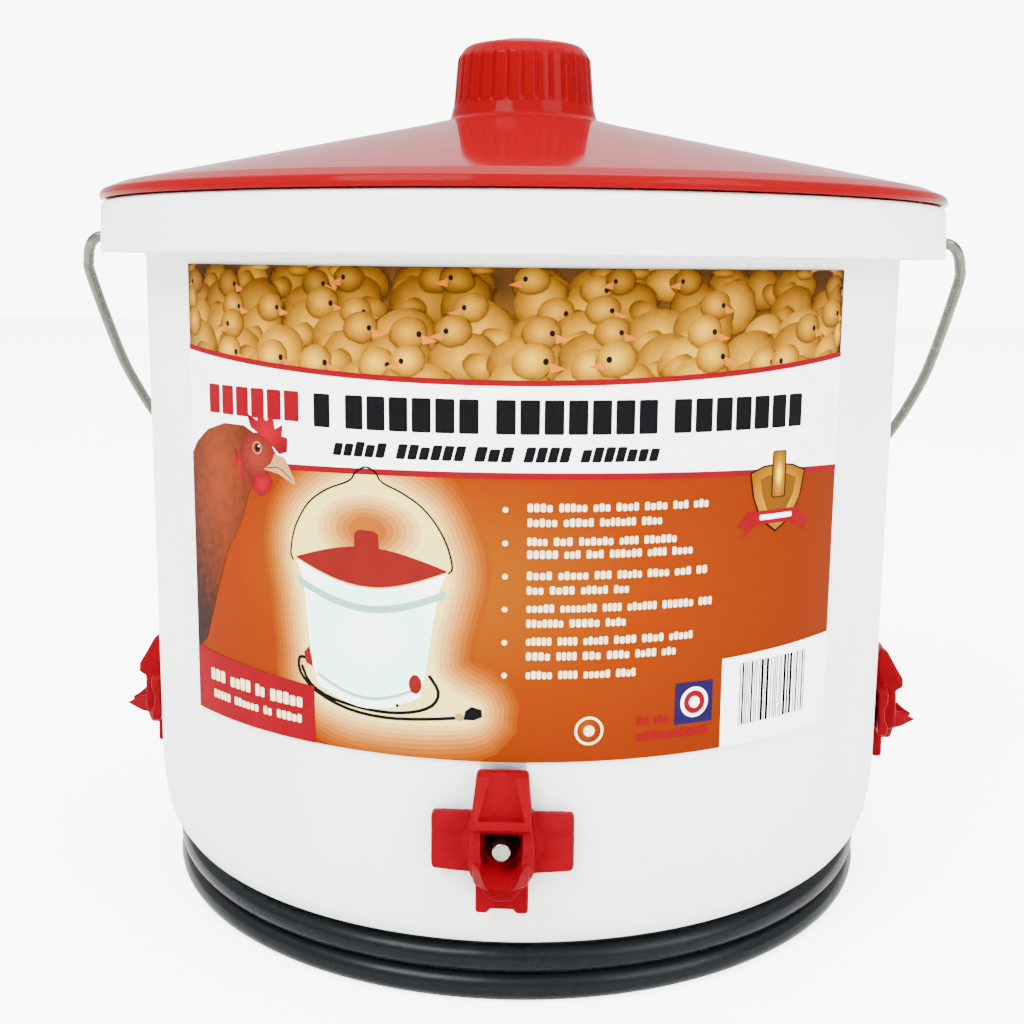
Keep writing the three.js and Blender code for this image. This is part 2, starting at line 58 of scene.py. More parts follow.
def placeCamera():
    data = bpy.data.cameras.new("camera")
    data.sensor_width = 36
    data.lens = shot["lens"]
    data.shift_y = shot["shiftUp"]
    data.clip_start = 0.02
    data.clip_end = 50
    camera = bpy.data.objects.new("camera", data)
    bpy.context.scene.collection.objects.link(camera)
    place = Matrix.Translation((0, -shot["distance"], shot["height"]))
    aim = (Matrix.Rotation(-shot["yaw"], 4, "Z")
           @ Matrix.Rotation(math.pi / 2 - shot["pitch"], 4, "X")
           @ Matrix.Rotation(shot["roll"], 4, "Z"))
    camera.matrix_world = Matrix.Rotation(shot["turned"], 4, "Z") @ place @ aim
    bpy.context.scene.camera = camera


studio = {
    "floor": 8.0,
    "floorColour": (0.93, 0.93, 0.93, 1),
    "skyStrength": 5.0,
    "skyRing": [(0.0, 0.9), (0.04, 0.36), (0.22, 0.28), (0.5, 0.45), (0.75, 1.0)],
    "backdropStrength": 9,
    "floorGlow": 4,     # only the camera sees it
    "lamps": [
        # name, place, size, watts
        ("keyLamp", (-1.0, -1.5, 1.9), 1.3, 170),
        ("fillLamp", (1.6, -1.3, 1.2), 1.4, 95),
        ("backLamp", (0.2, 1.0, 2.6), 1.4, 80),
    ],
}


def lightScene():
    world = bpy.data.worlds.new("softStudio")
    world.use_nodes = True
    tree = world.node_tree
    sky = tree.nodes["Background"]
    sky.inputs["Strength"].default_value = studio["skyStrength"]
    # the ring of sky that the cone mirrors is dimmer than the rest
    where = tree.nodes.new("ShaderNodeTexCoord")
    axes = tree.nodes.new("ShaderNodeSeparateXYZ")
    ring = tree.nodes.new("ShaderNodeValToRGB")
    for _ in studio["skyRing"][2:]:
        ring.color_ramp.elements.new(0.5)
    for element, (height, level) in zip(ring.color_ramp.elements, studio["skyRing"]):
        element.position = height
        element.color = (level, level, level, 1)
    tree.links.new(where.outputs["Generated"], axes.inputs["Vector"])
    tree.links.new(axes.outputs["Z"], ring.inputs["Fac"])
    tree.links.new(ring.outputs["Color"], sky.inputs["Color"])
    backdrop = tree.nodes.new("ShaderNodeBackground")
    backdrop.inputs["Color"].default_value = (1, 1, 1, 1)
    backdrop.inputs["Strength"].default_value = studio["backdropStrength"]
    path = tree.nodes.new("ShaderNodeLightPath")
    seen = tree.nodes.new("ShaderNodeMixShader")
    tree.links.new(path.outputs["Is Camera Ray"], seen.inputs["Fac"])
    tree.links.new(sky.outputs["Background"], seen.inputs[1])
    tree.links.new(backdrop.outputs["Background"], seen.inputs[2])
    tree.links.new(seen.outputs["Shader"], tree.nodes["World Output"].inputs["Surface"])
    bpy.context.scene.world = world
    for name, place, size, watts in studio["lamps"]:
        data = bpy.data.lights.new(name, "AREA")
        data.shape = "DISK"
        data.size = size
        data.energy = watts
        lamp = bpy.data.objects.new(name, data)
        lamp.location = place
        aim = Vector((0, 0, 0.12)) - Vector(place)
        lamp.rotation_euler = aim.to_track_quat("-Z", "Y").to_euler()
        bpy.context.scene.collection.objects.link(lamp)


# shader groups
def groupSockets(group, ins, outs):
    for name, kind, value in ins:
        made = group.interface.new_socket(name, in_out="INPUT", socket_type=kind)
        if value is not None:
            made.default_value = value
    for name, kind in outs:
        group.interface.new_socket(name, in_out="OUTPUT", socket_type=kind)
    inside = group.nodes.new("NodeGroupInput")
    outside = group.nodes.new("NodeGroupOutput")
    return inside, outside


def makeDriftGroup():
    # slow change of colour and gloss over a surface
    group = bpy.data.node_groups.new("surfaceDrift", "ShaderNodeTree")
    inside, outside = groupSockets(group, [
        ("Vector", "NodeSocketVector", None),
        ("Colour", "NodeSocketColor", (0.8, 0.8, 0.8, 1)),
        ("Second Colour", "NodeSocketColor", (0.6, 0.6, 0.6, 1)),
        ("Scale", "NodeSocketFloat", 20.0),
        ("Spread", "NodeSocketFloat", 0.5),
        ("Gloss Low", "NodeSocketFloat", 0.3),
        ("Gloss High", "NodeSocketFloat", 0.4),
    ], [("Colour", "NodeSocketColor"), ("Roughness", "NodeSocketFloat"), ("Mask", "NodeSocketFloat")])
    links = group.links
    cloud = group.nodes.new("ShaderNodeTexNoise")
    cloud.inputs["Detail"].default_value = 6
    links.new(inside.outputs["Vector"], cloud.inputs["Vector"])
    links.new(inside.outputs["Scale"], cloud.inputs["Scale"])
    sharpen = group.nodes.new("ShaderNodeMapRange")
    sharpen.inputs["From Min"].default_value = 0.32
    sharpen.inputs["From Max"].default_value = 0.68
    links.new(cloud.outputs["Fac"], sharpen.inputs["Value"])
    amount = group.nodes.new("ShaderNodeMath")
    amount.operation = "MULTIPLY"
    links.new(sharpen.outputs["Result"], amount.inputs[0])
    links.new(inside.outputs["Spread"], amount.inputs[1])
    tint = group.nodes.new("ShaderNodeMix")
    tint.data_type = "RGBA"
    links.new(amount.outputs[0], tint.inputs["Factor"])
    links.new(inside.outputs["Colour"], tint.inputs["A"])
    links.new(inside.outputs["Second Colour"], tint.inputs["B"])
    gloss = group.nodes.new("ShaderNodeMapRange")
    links.new(sharpen.outputs["Result"], gloss.inputs["Value"])
    links.new(inside.outputs["Gloss Low"], gloss.inputs["To Min"])
    links.new(inside.outputs["Gloss High"], gloss.inputs["To Max"])
    links.new(tint.outputs["Result"], outside.inputs["Colour"])
    links.new(gloss.outputs["Result"], outside.inputs["Roughness"])
    links.new(sharpen.outputs["Result"], outside.inputs["Mask"])
    return group


def makeGrainGroup():
    # fine relief: moulded grain, with a slower ripple under it
    group = bpy.data.node_groups.new("mouldedGrain", "ShaderNodeTree")
    inside, outside = groupSockets(group, [
        ("Vector", "NodeSocketVector", None),
        ("Grain Scale", "NodeSocketFloat", 900.0),
        ("Ripple Scale", "NodeSocketFloat", 40.0),
        ("Ripple Share", "NodeSocketFloat", 0.5),
    ], [("Height", "NodeSocketFloat")])
    links = group.links
    grain = group.nodes.new("ShaderNodeTexNoise")
    grain.inputs["Detail"].default_value = 3
    ripple = group.nodes.new("ShaderNodeTexNoise")
    ripple.inputs["Detail"].default_value = 1
    for texture, scale in ((grain, "Grain Scale"), (ripple, "Ripple Scale")):
        links.new(inside.outputs["Vector"], texture.inputs["Vector"])
        links.new(inside.outputs[scale], texture.inputs["Scale"])
    both = group.nodes.new("ShaderNodeMix")
    links.new(inside.outputs["Ripple Share"], both.inputs["Factor"])
    links.new(grain.outputs["Fac"], both.inputs["A"])
    links.new(ripple.outputs["Fac"], both.inputs["B"])
    links.new(both.outputs["Result"], outside.inputs["Height"])
    return group


driftGroup = makeDriftGroup()
grainGroup = makeGrainGroup()


def colour(red, green, blue):
    return (red, green, blue, 1)


def plainMaterial(name):
    material = bpy.data.materials.new(name)
    material.use_nodes = True
    tree = material.node_tree
    return material, tree, tree.nodes["Principled BSDF"]


def finish(name, main, second, gloss, scale=25, spread=0.5, stretch=(1, 1, 1), grain=900, ripple=40,
           share=0.5, relief=0.0001, metallic=0.0, coat=0.0, subsurface=0.0, ior=1.5):
    material, tree, shader = plainMaterial(name)
    links = tree.links
    where = tree.nodes.new("ShaderNodeTexCoord")
    mapped = tree.nodes.new("ShaderNodeMapping")
    mapped.inputs["Scale"].default_value = stretch
    links.new(where.outputs["Object"], mapped.inputs["Vector"])
    drift = tree.nodes.new("ShaderNodeGroup")
    drift.node_tree = driftGroup
    drift.inputs["Colour"].default_value = main
    drift.inputs["Second Colour"].default_value = second
    drift.inputs["Scale"].default_value = scale
    drift.inputs["Spread"].default_value = spread
    drift.inputs["Gloss Low"].default_value = gloss[0]
    drift.inputs["Gloss High"].default_value = gloss[1]
    texture = tree.nodes.new("ShaderNodeGroup")
    texture.node_tree = grainGroup
    texture.inputs["Grain Scale"].default_value = grain
    texture.inputs["Ripple Scale"].default_value = ripple
    texture.inputs["Ripple Share"].default_value = share
    for node in (drift, texture):
        links.new(mapped.outputs["Vector"], node.inputs["Vector"])
    bump = tree.nodes.new("ShaderNodeBump")
    bump.inputs["Strength"].default_value = 1.0
    bump.inputs["Distance"].default_value = relief
    links.new(texture.outputs["Height"], bump.inputs["Height"])
    links.new(drift.outputs["Colour"], shader.inputs["Base Color"])
    links.new(drift.outputs["Roughness"], shader.inputs["Roughness"])
    links.new(bump.outputs["Normal"], shader.inputs["Normal"])
    shader.inputs["Metallic"].default_value = metallic
    shader.inputs["Coat Weight"].default_value = coat
    shader.inputs["Coat Roughness"].default_value = 0.05
    shader.inputs["IOR"].default_value = ior
    if subsurface:
        shader.inputs["Subsurface Weight"].default_value = subsurface
        shader.inputs["Subsurface Radius"].default_value = (1.0, 0.85, 0.7)
        shader.inputs["Subsurface Scale"].default_value = 0.003
    return material


paints = {
    "whitePlastic": finish("whitePlastic", colour(0.74, 0.74, 0.73), colour(0.69, 0.685, 0.67), (0.3, 0.42),
                           scale=18, grain=1400, ripple=28, share=0.7, relief=0.00012, subsurface=0.25),
    "lidRed": finish("lidRed", colour(0.122, 0.0, 0.0018), colour(0.112, 0.0, 0.0018), (0.05, 0.1), scale=30,
                     grain=1100, ripple=70, share=0.55, relief=0.00001, ior=1.07),
    "nippleRed": finish("nippleRed", colour(0.108, 0.0, 0.0025), colour(0.094, 0.0, 0.0025), (0.25, 0.36),
                        scale=90, grain=1600, ripple=180, share=0.5, relief=0.00006, ior=1.06),
    "wire": finish("wire", colour(0.100, 0.0991, 0.0811), colour(0.0408, 0.0413, 0.0368), (0.22, 0.42),
                   scale=260, grain=2600, ripple=300, share=0.4, relief=0.00006, metallic=1.0),
    "steel": finish("steel", colour(0.242, 0.241, 0.196), colour(0.0956, 0.0968, 0.0854), (0.16, 0.3),
                    scale=300, grain=3000, ripple=500, share=0.4, relief=0.00003, metallic=1.0),
    "brass": finish("brass", colour(0.208, 0.130, 0.0047), colour(0.110, 0.0673, 0.0103), (0.2, 0.34),
                    scale=120, grain=2400, ripple=300, share=0.4, relief=0.00003, metallic=1.0),
    "aluminium": finish("aluminium", colour(0.207, 0.219, 0.245), colour(0.109, 0.114, 0.124), (0.25, 0.4),
                        scale=60, stretch=(1, 8, 1), grain=2000, ripple=200, share=0.4, relief=0.00005,
                        metallic=1.0),
    "cordVinyl": finish("cordVinyl", (0.0035, 0.0045, 0.005, 1), (0.002, 0.003, 0.0035, 1), (0.2, 0.32),
                        scale=50, grain=1500, ripple=60, share=0.6, relief=0.00012, ior=1.14),
    "plugVinyl": finish("plugVinyl", colour(0.0041, 0.0045, 0.0048), colour(0.0030, 0.0033, 0.0037),
                        (0.34, 0.5), scale=70, grain=2200, ripple=200, share=0.3, relief=0.0001, ior=1.16),
    "rubber": finish("rubber", colour(0.0035, 0.0035, 0.0035), colour(0.0061, 0.0059, 0.0057), (0.6, 0.78),
                     scale=120, grain=2400, ripple=200, share=0.3, relief=0.0001, ior=1.16),
    "fibre": finish("fibre", colour(0.422, 0.341, 0.0901), colour(0.176, 0.144, 0.0508), (0.9, 1.0),
                    scale=300, grain=700, ripple=160, share=0.4, relief=0.0006),
    "whiteLead": finish("whiteLead", colour(0.710, 0.672, 0.486), colour(0.360, 0.331, 0.238), (0.4, 0.55),
                        scale=120, grain=2400, ripple=200, share=0.4, relief=0.00006),
    "greenLead": finish("greenLead", colour(0.0054, 0.0398, 0.0106), colour(0.0043, 0.0278, 0.0080),
                        (0.4, 0.55), scale=120, grain=2400, ripple=200, share=0.4, relief=0.00006),
    "bakelite": finish("bakelite", colour(0.0142, 0.0066, 0.0039), colour(0.0088, 0.0042, 0.0026),
                       (0.35, 0.5), scale=120, grain=2400, ripple=200, share=0.4, relief=0.00006),
    "floor": finish("floor", studio["floorColour"], (0.92, 0.92, 0.92, 1), (0.75, 0.85), scale=3, grain=60,
                    ripple=6, share=0.5, relief=0.0002),
}


def glowForCamera(material, strength):
    tree = material.node_tree
    path = tree.nodes.new("ShaderNodeLightPath")
    level = tree.nodes.new("ShaderNodeMath")
    level.operation = "MULTIPLY"
    level.inputs[1].default_value = strength
    tree.links.new(path.outputs["Is Camera Ray"], level.inputs[0])
    shader = tree.nodes["Principled BSDF"]
    shader.inputs["Emission Color"].default_value = (1, 1, 1, 1)
    tree.links.new(level.outputs[0], shader.inputs["Emission Strength"])


glowForCamera(paints["floor"], studio["floorGlow"])
print("materials made")


# mesh helpers
def softOutline(corners, steps=5):
    # corners are (across, up, radius) in millimetres; each one with a radius turns through an arc
    path = []
    for i, (x, y, radius) in enumerate(corners):
        here = Vector((x, y))
        if not radius or i in (0, len(corners) - 1):
            path.append(here)
            continue
        back = Vector(corners[i - 1][:2]) - here
        ahead = Vector(corners[i + 1][:2]) - here
        half = back.angle(ahead) / 2
        reach = min(radius / math.tan(half), back.length * 0.49, ahead.length * 0.49)
        arc = reach * math.tan(half)
        middle = here + (back.normalized() + ahead.normalized()).normalized() * (arc / math.sin(half))
        first = here + back.normalized() * reach - middle
        last = here + ahead.normalized() * reach - middle
        turn = first.angle_signed(last)
        for step in range(steps + 1):
            part = first.copy()
            part.rotate(Matrix.Rotation(-turn * step / steps, 2))
            path.append(middle + part)
    return path


def spinOutline(bm, path, steps, closed=False):
    verts = [bm.verts.new((point.x * mm, 0, point.y * mm)) for point in path]
    edges = [bm.edges.new(pair) for pair in zip(verts, verts[1:])]
    if closed:
        edges.append(bm.edges.new((verts[-1], verts[0])))
    bmesh.ops.spin(bm, geom=verts + edges, cent=(0, 0, 0), axis=(0, 0, 1), angle=2 * math.pi, steps=steps,
                   use_merge=True)
    bmesh.ops.remove_doubles(bm, verts=bm.verts, dist=1e-7)
    bmesh.ops.recalc_face_normals(bm, faces=bm.faces)


def markSmooth(bm, angle):
    for face in bm.faces:
        face.smooth = True
    for edge in bm.edges:
        if edge.is_manifold and edge.calc_face_angle(0) > math.radians(angle):
            edge.smooth = False


def makePiece(name, bm, material, body, stands=(), angle=32):
    markSmooth(bm, angle)
    mesh = bpy.data.meshes.new(name)
    bm.to_mesh(mesh)
    bm.free()
    piece = bpy.data.objects.new(name, mesh)
    bpy.context.scene.collection.objects.link(piece)
    for one in material if isinstance(material, list) else [material]:
        mesh.materials.append(one)
    if body:
        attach(piece, body)
    if stands:
        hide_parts(*stands)
    return piece


def applyModifiers(piece):
    view = bpy.context.evaluated_depsgraph_get()
    baked = bpy.data.meshes.new_from_object(piece.evaluated_get(view), depsgraph=view)
    piece.modifiers.clear()
    old = piece.data
    piece.data = baked
    baked.name = piece.name
    bpy.data.meshes.remove(old)


def cutWith(piece, cutters):
    for cutter in cutters:
        step = piece.modifiers.new("cut", "BOOLEAN")
        step.operation = "DIFFERENCE"
        step.solver = "EXACT"
        step.object = cutter
    applyModifiers(piece)
    for cutter in cutters:
        bpy.data.objects.remove(cutter)


def rodMesh(bm, start, end, radius, endRadius=None, sides=48):
    start, end = Vector(start), Vector(end)
    along = end - start
    place = Matrix.Translation((start + end) / 2) @ along.to_track_quat("Z", "Y").to_matrix().to_4x4()
    return bmesh.ops.create_cone(bm, cap_ends=True, segments=sides, radius1=radius,
                                 radius2=radius if endRadius is None else endRadius, depth=along.length,
                                 matrix=place)["verts"]


def cutterRod(start, end, radius, endRadius=None):
    bm = bmesh.new()
    rodMesh(bm, start, end, radius, endRadius)
    return makePiece("cutter", bm, paints["steel"], None)


def polar(angle, radius, z):
    # angle in degrees from +X, the rest in millimetres
    return Vector((radius * math.cos(math.radians(angle)), radius * math.sin(math.radians(angle)), z)) * mm


def smoothStep(low, high, value):
    t = min(max((value - low) / (high - low), 0), 1)
    return t * t * (3 - 2 * t)


placeCamera()
lightScene()

bm = bmesh.new()
bmesh.ops.create_grid(bm, x_segments=1, y_segments=1, size=studio["floor"] / 2)
floor = makePiece("floor", bm, paints["floor"], None)


# mains cord
cordFacts = {
    "radius": 3.9,
    "turnRadius": 112.8,
    "lowTurn": 3.9,
    "highTurn": 11.7,
    "pocketAngle": 150,
    "pocketDistance": 94,
    "reliefTip": 13,
    "leadBend": 36,
    "tail": [(156, 121.2, 3.9), (148, 121.2, 3.9), (140, 121.2, 3.9), (132, 121.2, 3.9), (124, 121.2, 3.9),
             (118, 121.2, 3.9), (110, 122.4, 4), (103, 125.2, 5.2), (97, 129, 7.6), (92.5, 131.6, 9.3),
             (87.7, 131.7, 9.6)],
}


def pocketPoint(x, y, z):
    turn = math.radians(cordFacts["pocketAngle"] - 90)
    return Vector((x * math.cos(turn) - y * math.sin(turn), x * math.sin(turn) + y * math.cos(turn), z)) * mm


def cordRoute():
    facts = cordFacts
    bend, line, turnRadius = facts["leadBend"], facts["pocketDistance"], facts["turnRadius"]
    low, high = facts["lowTurn"], facts["highTurn"]
    bendStart = math.sqrt((turnRadius - bend) ** 2 - (line - bend) ** 2)
    bendAngle = math.degrees(math.atan2(bendStart, line - bend))
    route = []
    for step in range(7):
        x = facts["reliefTip"] + 0.5 + (bendStart - facts["reliefTip"] - 0.5) * step / 7
        route.append(pocketPoint(x, line, low + 0.8 * (1 - step / 7) ** 2))
    for step in range(8):
        angle = math.radians(bendAngle * step / 8)
        route.append(pocketPoint(bendStart + bend * math.sin(angle), line - bend + bend * math.cos(angle),
                                 low))
    turnStart = facts["pocketAngle"] - bendAngle
    climb, leave, leaveEnd = (-188, -222), -530, -560
    steps = int((turnStart - leave) / 4)
    for step in range(steps + 1):
        angle = turnStart + (leave - turnStart) * step / steps
        rise = smoothStep(-climb[0], -climb[1], -angle)
        route.append(polar(angle, turnRadius, low + (high - low) * rise))
    for step in range(1, 10):
        turn = math.radians(90 * smoothStep(0, 10, step))
        route.append(polar(leave + (leaveEnd - leave) * step / 10, turnRadius + 8.4 * math.sin(turn),
                           low + (high - low) * math.cos(turn)))
    route += [polar(*stop) for stop in facts["tail"]]
    return route


def smoothRoute(points, times):
    # a Catmull-Rom pass through the points, so that no bend shows a corner
    out = []
    for i in range(len(points) - 1):
        before, a, b, after = points[max(i - 1,
                                         0)], points[i], points[i + 1], points[min(i + 2, len(points) - 1)]
        for step in range(times):
            t = step / times
            out.append(0.5 * (2 * a + (b - before) * t + (2 * before - 5 * a + 4 * b - after) * t * t
                              + (3 * a - before - 3 * b + after) * t ** 3))
    return out + [points[-1]]


def curveThrough(name, points, radius, material, body, resolution=6):
    data = bpy.data.curves.new(name, "CURVE")
    data.dimensions = "3D"
    data.bevel_depth = radius * mm
    data.bevel_resolution = resolution
    data.use_fill_caps = True
    spline = data.splines.new("POLY")
    spline.points.add(len(points) - 1)
    for point, place in zip(spline.points, points):
        point.co = (*place, 1)
    piece = bpy.data.objects.new(name, data)
    bpy.context.scene.collection.objects.link(piece)
    data.materials.append(material)
    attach(piece, body)
    return piece


cordPoints = smoothRoute(cordRoute(), 2)
powerCord = curveThrough("power_cord", cordPoints, cordFacts["radius"], paints["cordVinyl"], "fount", 7)
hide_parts("cord_lead_in", "cord_coil", "cord_tail")


# pail
pailShape = {
    "steps": 224,
    "undersideZ": 17.2,
    "wall": 2.5,
    "baseRadius": 122.3,
    "baseZ": 33,
    "topRadius": 126.2,
    "skirtZ": 204.2,
    "rimTopZ": 220.4,
    "nippleZ": 50.4,
    "nippleHole": 6.6,
    "pivotZ": 210,
    "pivotHole": 2.5,
    "screwAngles": (25, 95, 215, 300),
    "screwCircle": 92,
}
nippleSides = {"front": -90, "right": 0, "left": 180}


def wallRadius(z):
    shape = pailShape
    share = (z - shape["baseZ"]) / (shape["skirtZ"] - shape["baseZ"])
    return shape["baseRadius"] + (shape["topRadius"] - shape["baseRadius"]) * share


def makePail():
    shape = pailShape
    under, top, mouth = shape["undersideZ"], shape["rimTopZ"], shape["topRadius"] - shape["wall"]
    outline = softOutline([
        (0, under, 0), (106.2, under, 0.4), (106.8, 18.6, 0.3), (112.6, 18.6, 0.3), (113, 17.6, 0.3),
        (116.4, 17.5, 2.6), (120, 22.6, 14), (shape["baseRadius"], 34, 60), (126.4, top - 2.9, 1.4),
        (137.9, top - 2.9, 1.4), (137.9, shape["skirtZ"], 0.6), (140, shape["skirtZ"], 0.8),
        (139.7, top, 2.3), (mouth, top, 1.6), (119.8, 33, 20), (117.6, 21, 8), (0, 21, 0)], 6)
    bm = bmesh.new()
    spinOutline(bm, outline, shape["steps"])
    for angle in shape["screwAngles"]:
        rodMesh(bm, polar(angle, shape["screwCircle"], 5), polar(angle, shape["screwCircle"], under + 1),
                4.4 * mm, sides=32)
    piece = makePiece("pail_shell", bm, paints["whitePlastic"], "fount", ["pail"])
    cutters = []
    for angle in nippleSides.values():
        cutters.append(cutterRod(polar(angle, 112, shape["nippleZ"]), polar(angle, 130, shape["nippleZ"]),
                                 shape["nippleHole"] * mm))
    for side in (-1, 1):
        cutters.append(cutterRod(Vector((side * 134, 0, shape["pivotZ"])) * mm,
                                 Vector((side * 142, 0, shape["pivotZ"])) * mm, shape["pivotHole"] * mm))
    for angle in shape["screwAngles"]:
        cutters.append(cutterRod(polar(angle, shape["screwCircle"], 4),
                                 polar(angle, shape["screwCircle"], 15), 2 * mm))
    cutWith(piece, cutters)


makePail()
print("pail turned")


# printed label
labelShape = {
    "low": 71,
    "high": 201,
    "halfAngle": 47.3,
    "standOff": 0.35,
    "thick": 0.35,
    "facet": 2.5,       # the print follows the same flats as the sheet, in millimetres round the wall
    "wall": 124.5,
    "ply": 0.014,       # each layer of ink stands this far proud of the one below
}
perDegree = math.radians(labelShape["wall"])


def onWall(x, z, lift):
    # x runs round the wall from the front, to the right
    facet = labelShape["facet"]
    first = math.floor(x / facet)
    share = x / facet - first
    radius = (wallRadius(z) + lift) * mm
    ends = []
    for node in (first, first + 1):
        angle = node * facet / labelShape["wall"]
        ends.append(Vector((radius * math.sin(angle), -radius * math.cos(angle), z * mm)))
    return ends[0].lerp(ends[1], share)


def wallSheet(low, high, halfAngle, thick, lift):
    bm = bmesh.new()
    half = halfAngle * perDegree
    steps = int(2 * half / labelShape["facet"])
    bmesh.ops.create_grid(bm, x_segments=steps, y_segments=4, size=0.5)
    for vert in bm.verts:
        x = (vert.co.x * 2) * steps * labelShape["facet"] / 2
        vert.co = onWall(x, low + (vert.co.y + 0.5) * (high - low), lift)
    bmesh.ops.recalc_face_normals(bm, faces=bm.faces)
    if bm.faces[:][0].normal.y > 0:
        bmesh.ops.reverse_faces(bm, faces=bm.faces)
    bmesh.ops.solidify(bm, geom=bm.faces, thickness=thick * mm)
    return bm


def inkMaterial(name, red, green, blue):
    return finish(name, colour(red, green, blue), colour(red * 0.8, green * 0.8, blue * 0.8), (0.26, 0.34),
                  scale=140, spread=0.5, grain=2500, ripple=40, share=0.6, relief=0.00001, ior=1.05)


def shadedInk(name, stops, fuzz=0.0, fuzzScale=900, squash=(1, 1), centre=(0.5, 0.5), fadeFrom=None):
    # colour by distance from a centre on the shape's own map, roughened like down
    material, tree, shader = plainMaterial(name)
    links = tree.links
    printed = tree.nodes.new("ShaderNodeUVMap")
    printed.uv_map = "print"
    mapped = tree.nodes.new("ShaderNodeMapping")
    mapped.inputs["Location"].default_value = (-centre[0] * squash[0], -centre[1] * squash[1], 0)
    mapped.inputs["Scale"].default_value = (*squash, 1)
    links.new(printed.outputs["UV"], mapped.inputs["Vector"])
    distance = tree.nodes.new("ShaderNodeVectorMath")
    distance.operation = "LENGTH"
    links.new(mapped.outputs["Vector"], distance.inputs[0])
    where = tree.nodes.new("ShaderNodeTexCoord")
    down = tree.nodes.new("ShaderNodeTexNoise")
    down.inputs["Scale"].default_value = fuzzScale
    down.inputs["Detail"].default_value = 5
    links.new(where.outputs["Object"], down.inputs["Vector"])
    spread = tree.nodes.new("ShaderNodeMath")
    spread.operation = "MULTIPLY_ADD"
    spread.inputs[1].default_value = fuzz
    spread.inputs[2].default_value = -fuzz / 2
    links.new(down.outputs["Fac"], spread.inputs[0])
    both = tree.nodes.new("ShaderNodeMath")
    both.operation = "ADD"
    links.new(distance.outputs["Value"], both.inputs[0])
    links.new(spread.outputs[0], both.inputs[1])
    ramp = tree.nodes.new("ShaderNodeValToRGB")
    while len(ramp.color_ramp.elements) < len(stops):
        ramp.color_ramp.elements.new(0.5)
    for element, (place, tint) in zip(ramp.color_ramp.elements, stops):
        element.position = place
        element.color = colour(*tint)
    links.new(both.outputs[0], ramp.inputs["Fac"])
    links.new(ramp.outputs["Color"], shader.inputs["Base Color"])
    shader.inputs["Roughness"].default_value = 0.3
    shader.inputs["IOR"].default_value = 1.05
    if fadeFrom is not None:
        fade = tree.nodes.new("ShaderNodeMapRange")
        fade.interpolation_type = "SMOOTHSTEP"
        fade.inputs["From Min"].default_value = fadeFrom
        fade.inputs["From Max"].default_value = 0.5
        fade.inputs["To Min"].default_value = 1
        fade.inputs["To Max"].default_value = 0
        links.new(both.outputs[0], fade.inputs["Value"])
        links.new(fade.outputs["Result"], shader.inputs["Alpha"])
    return material


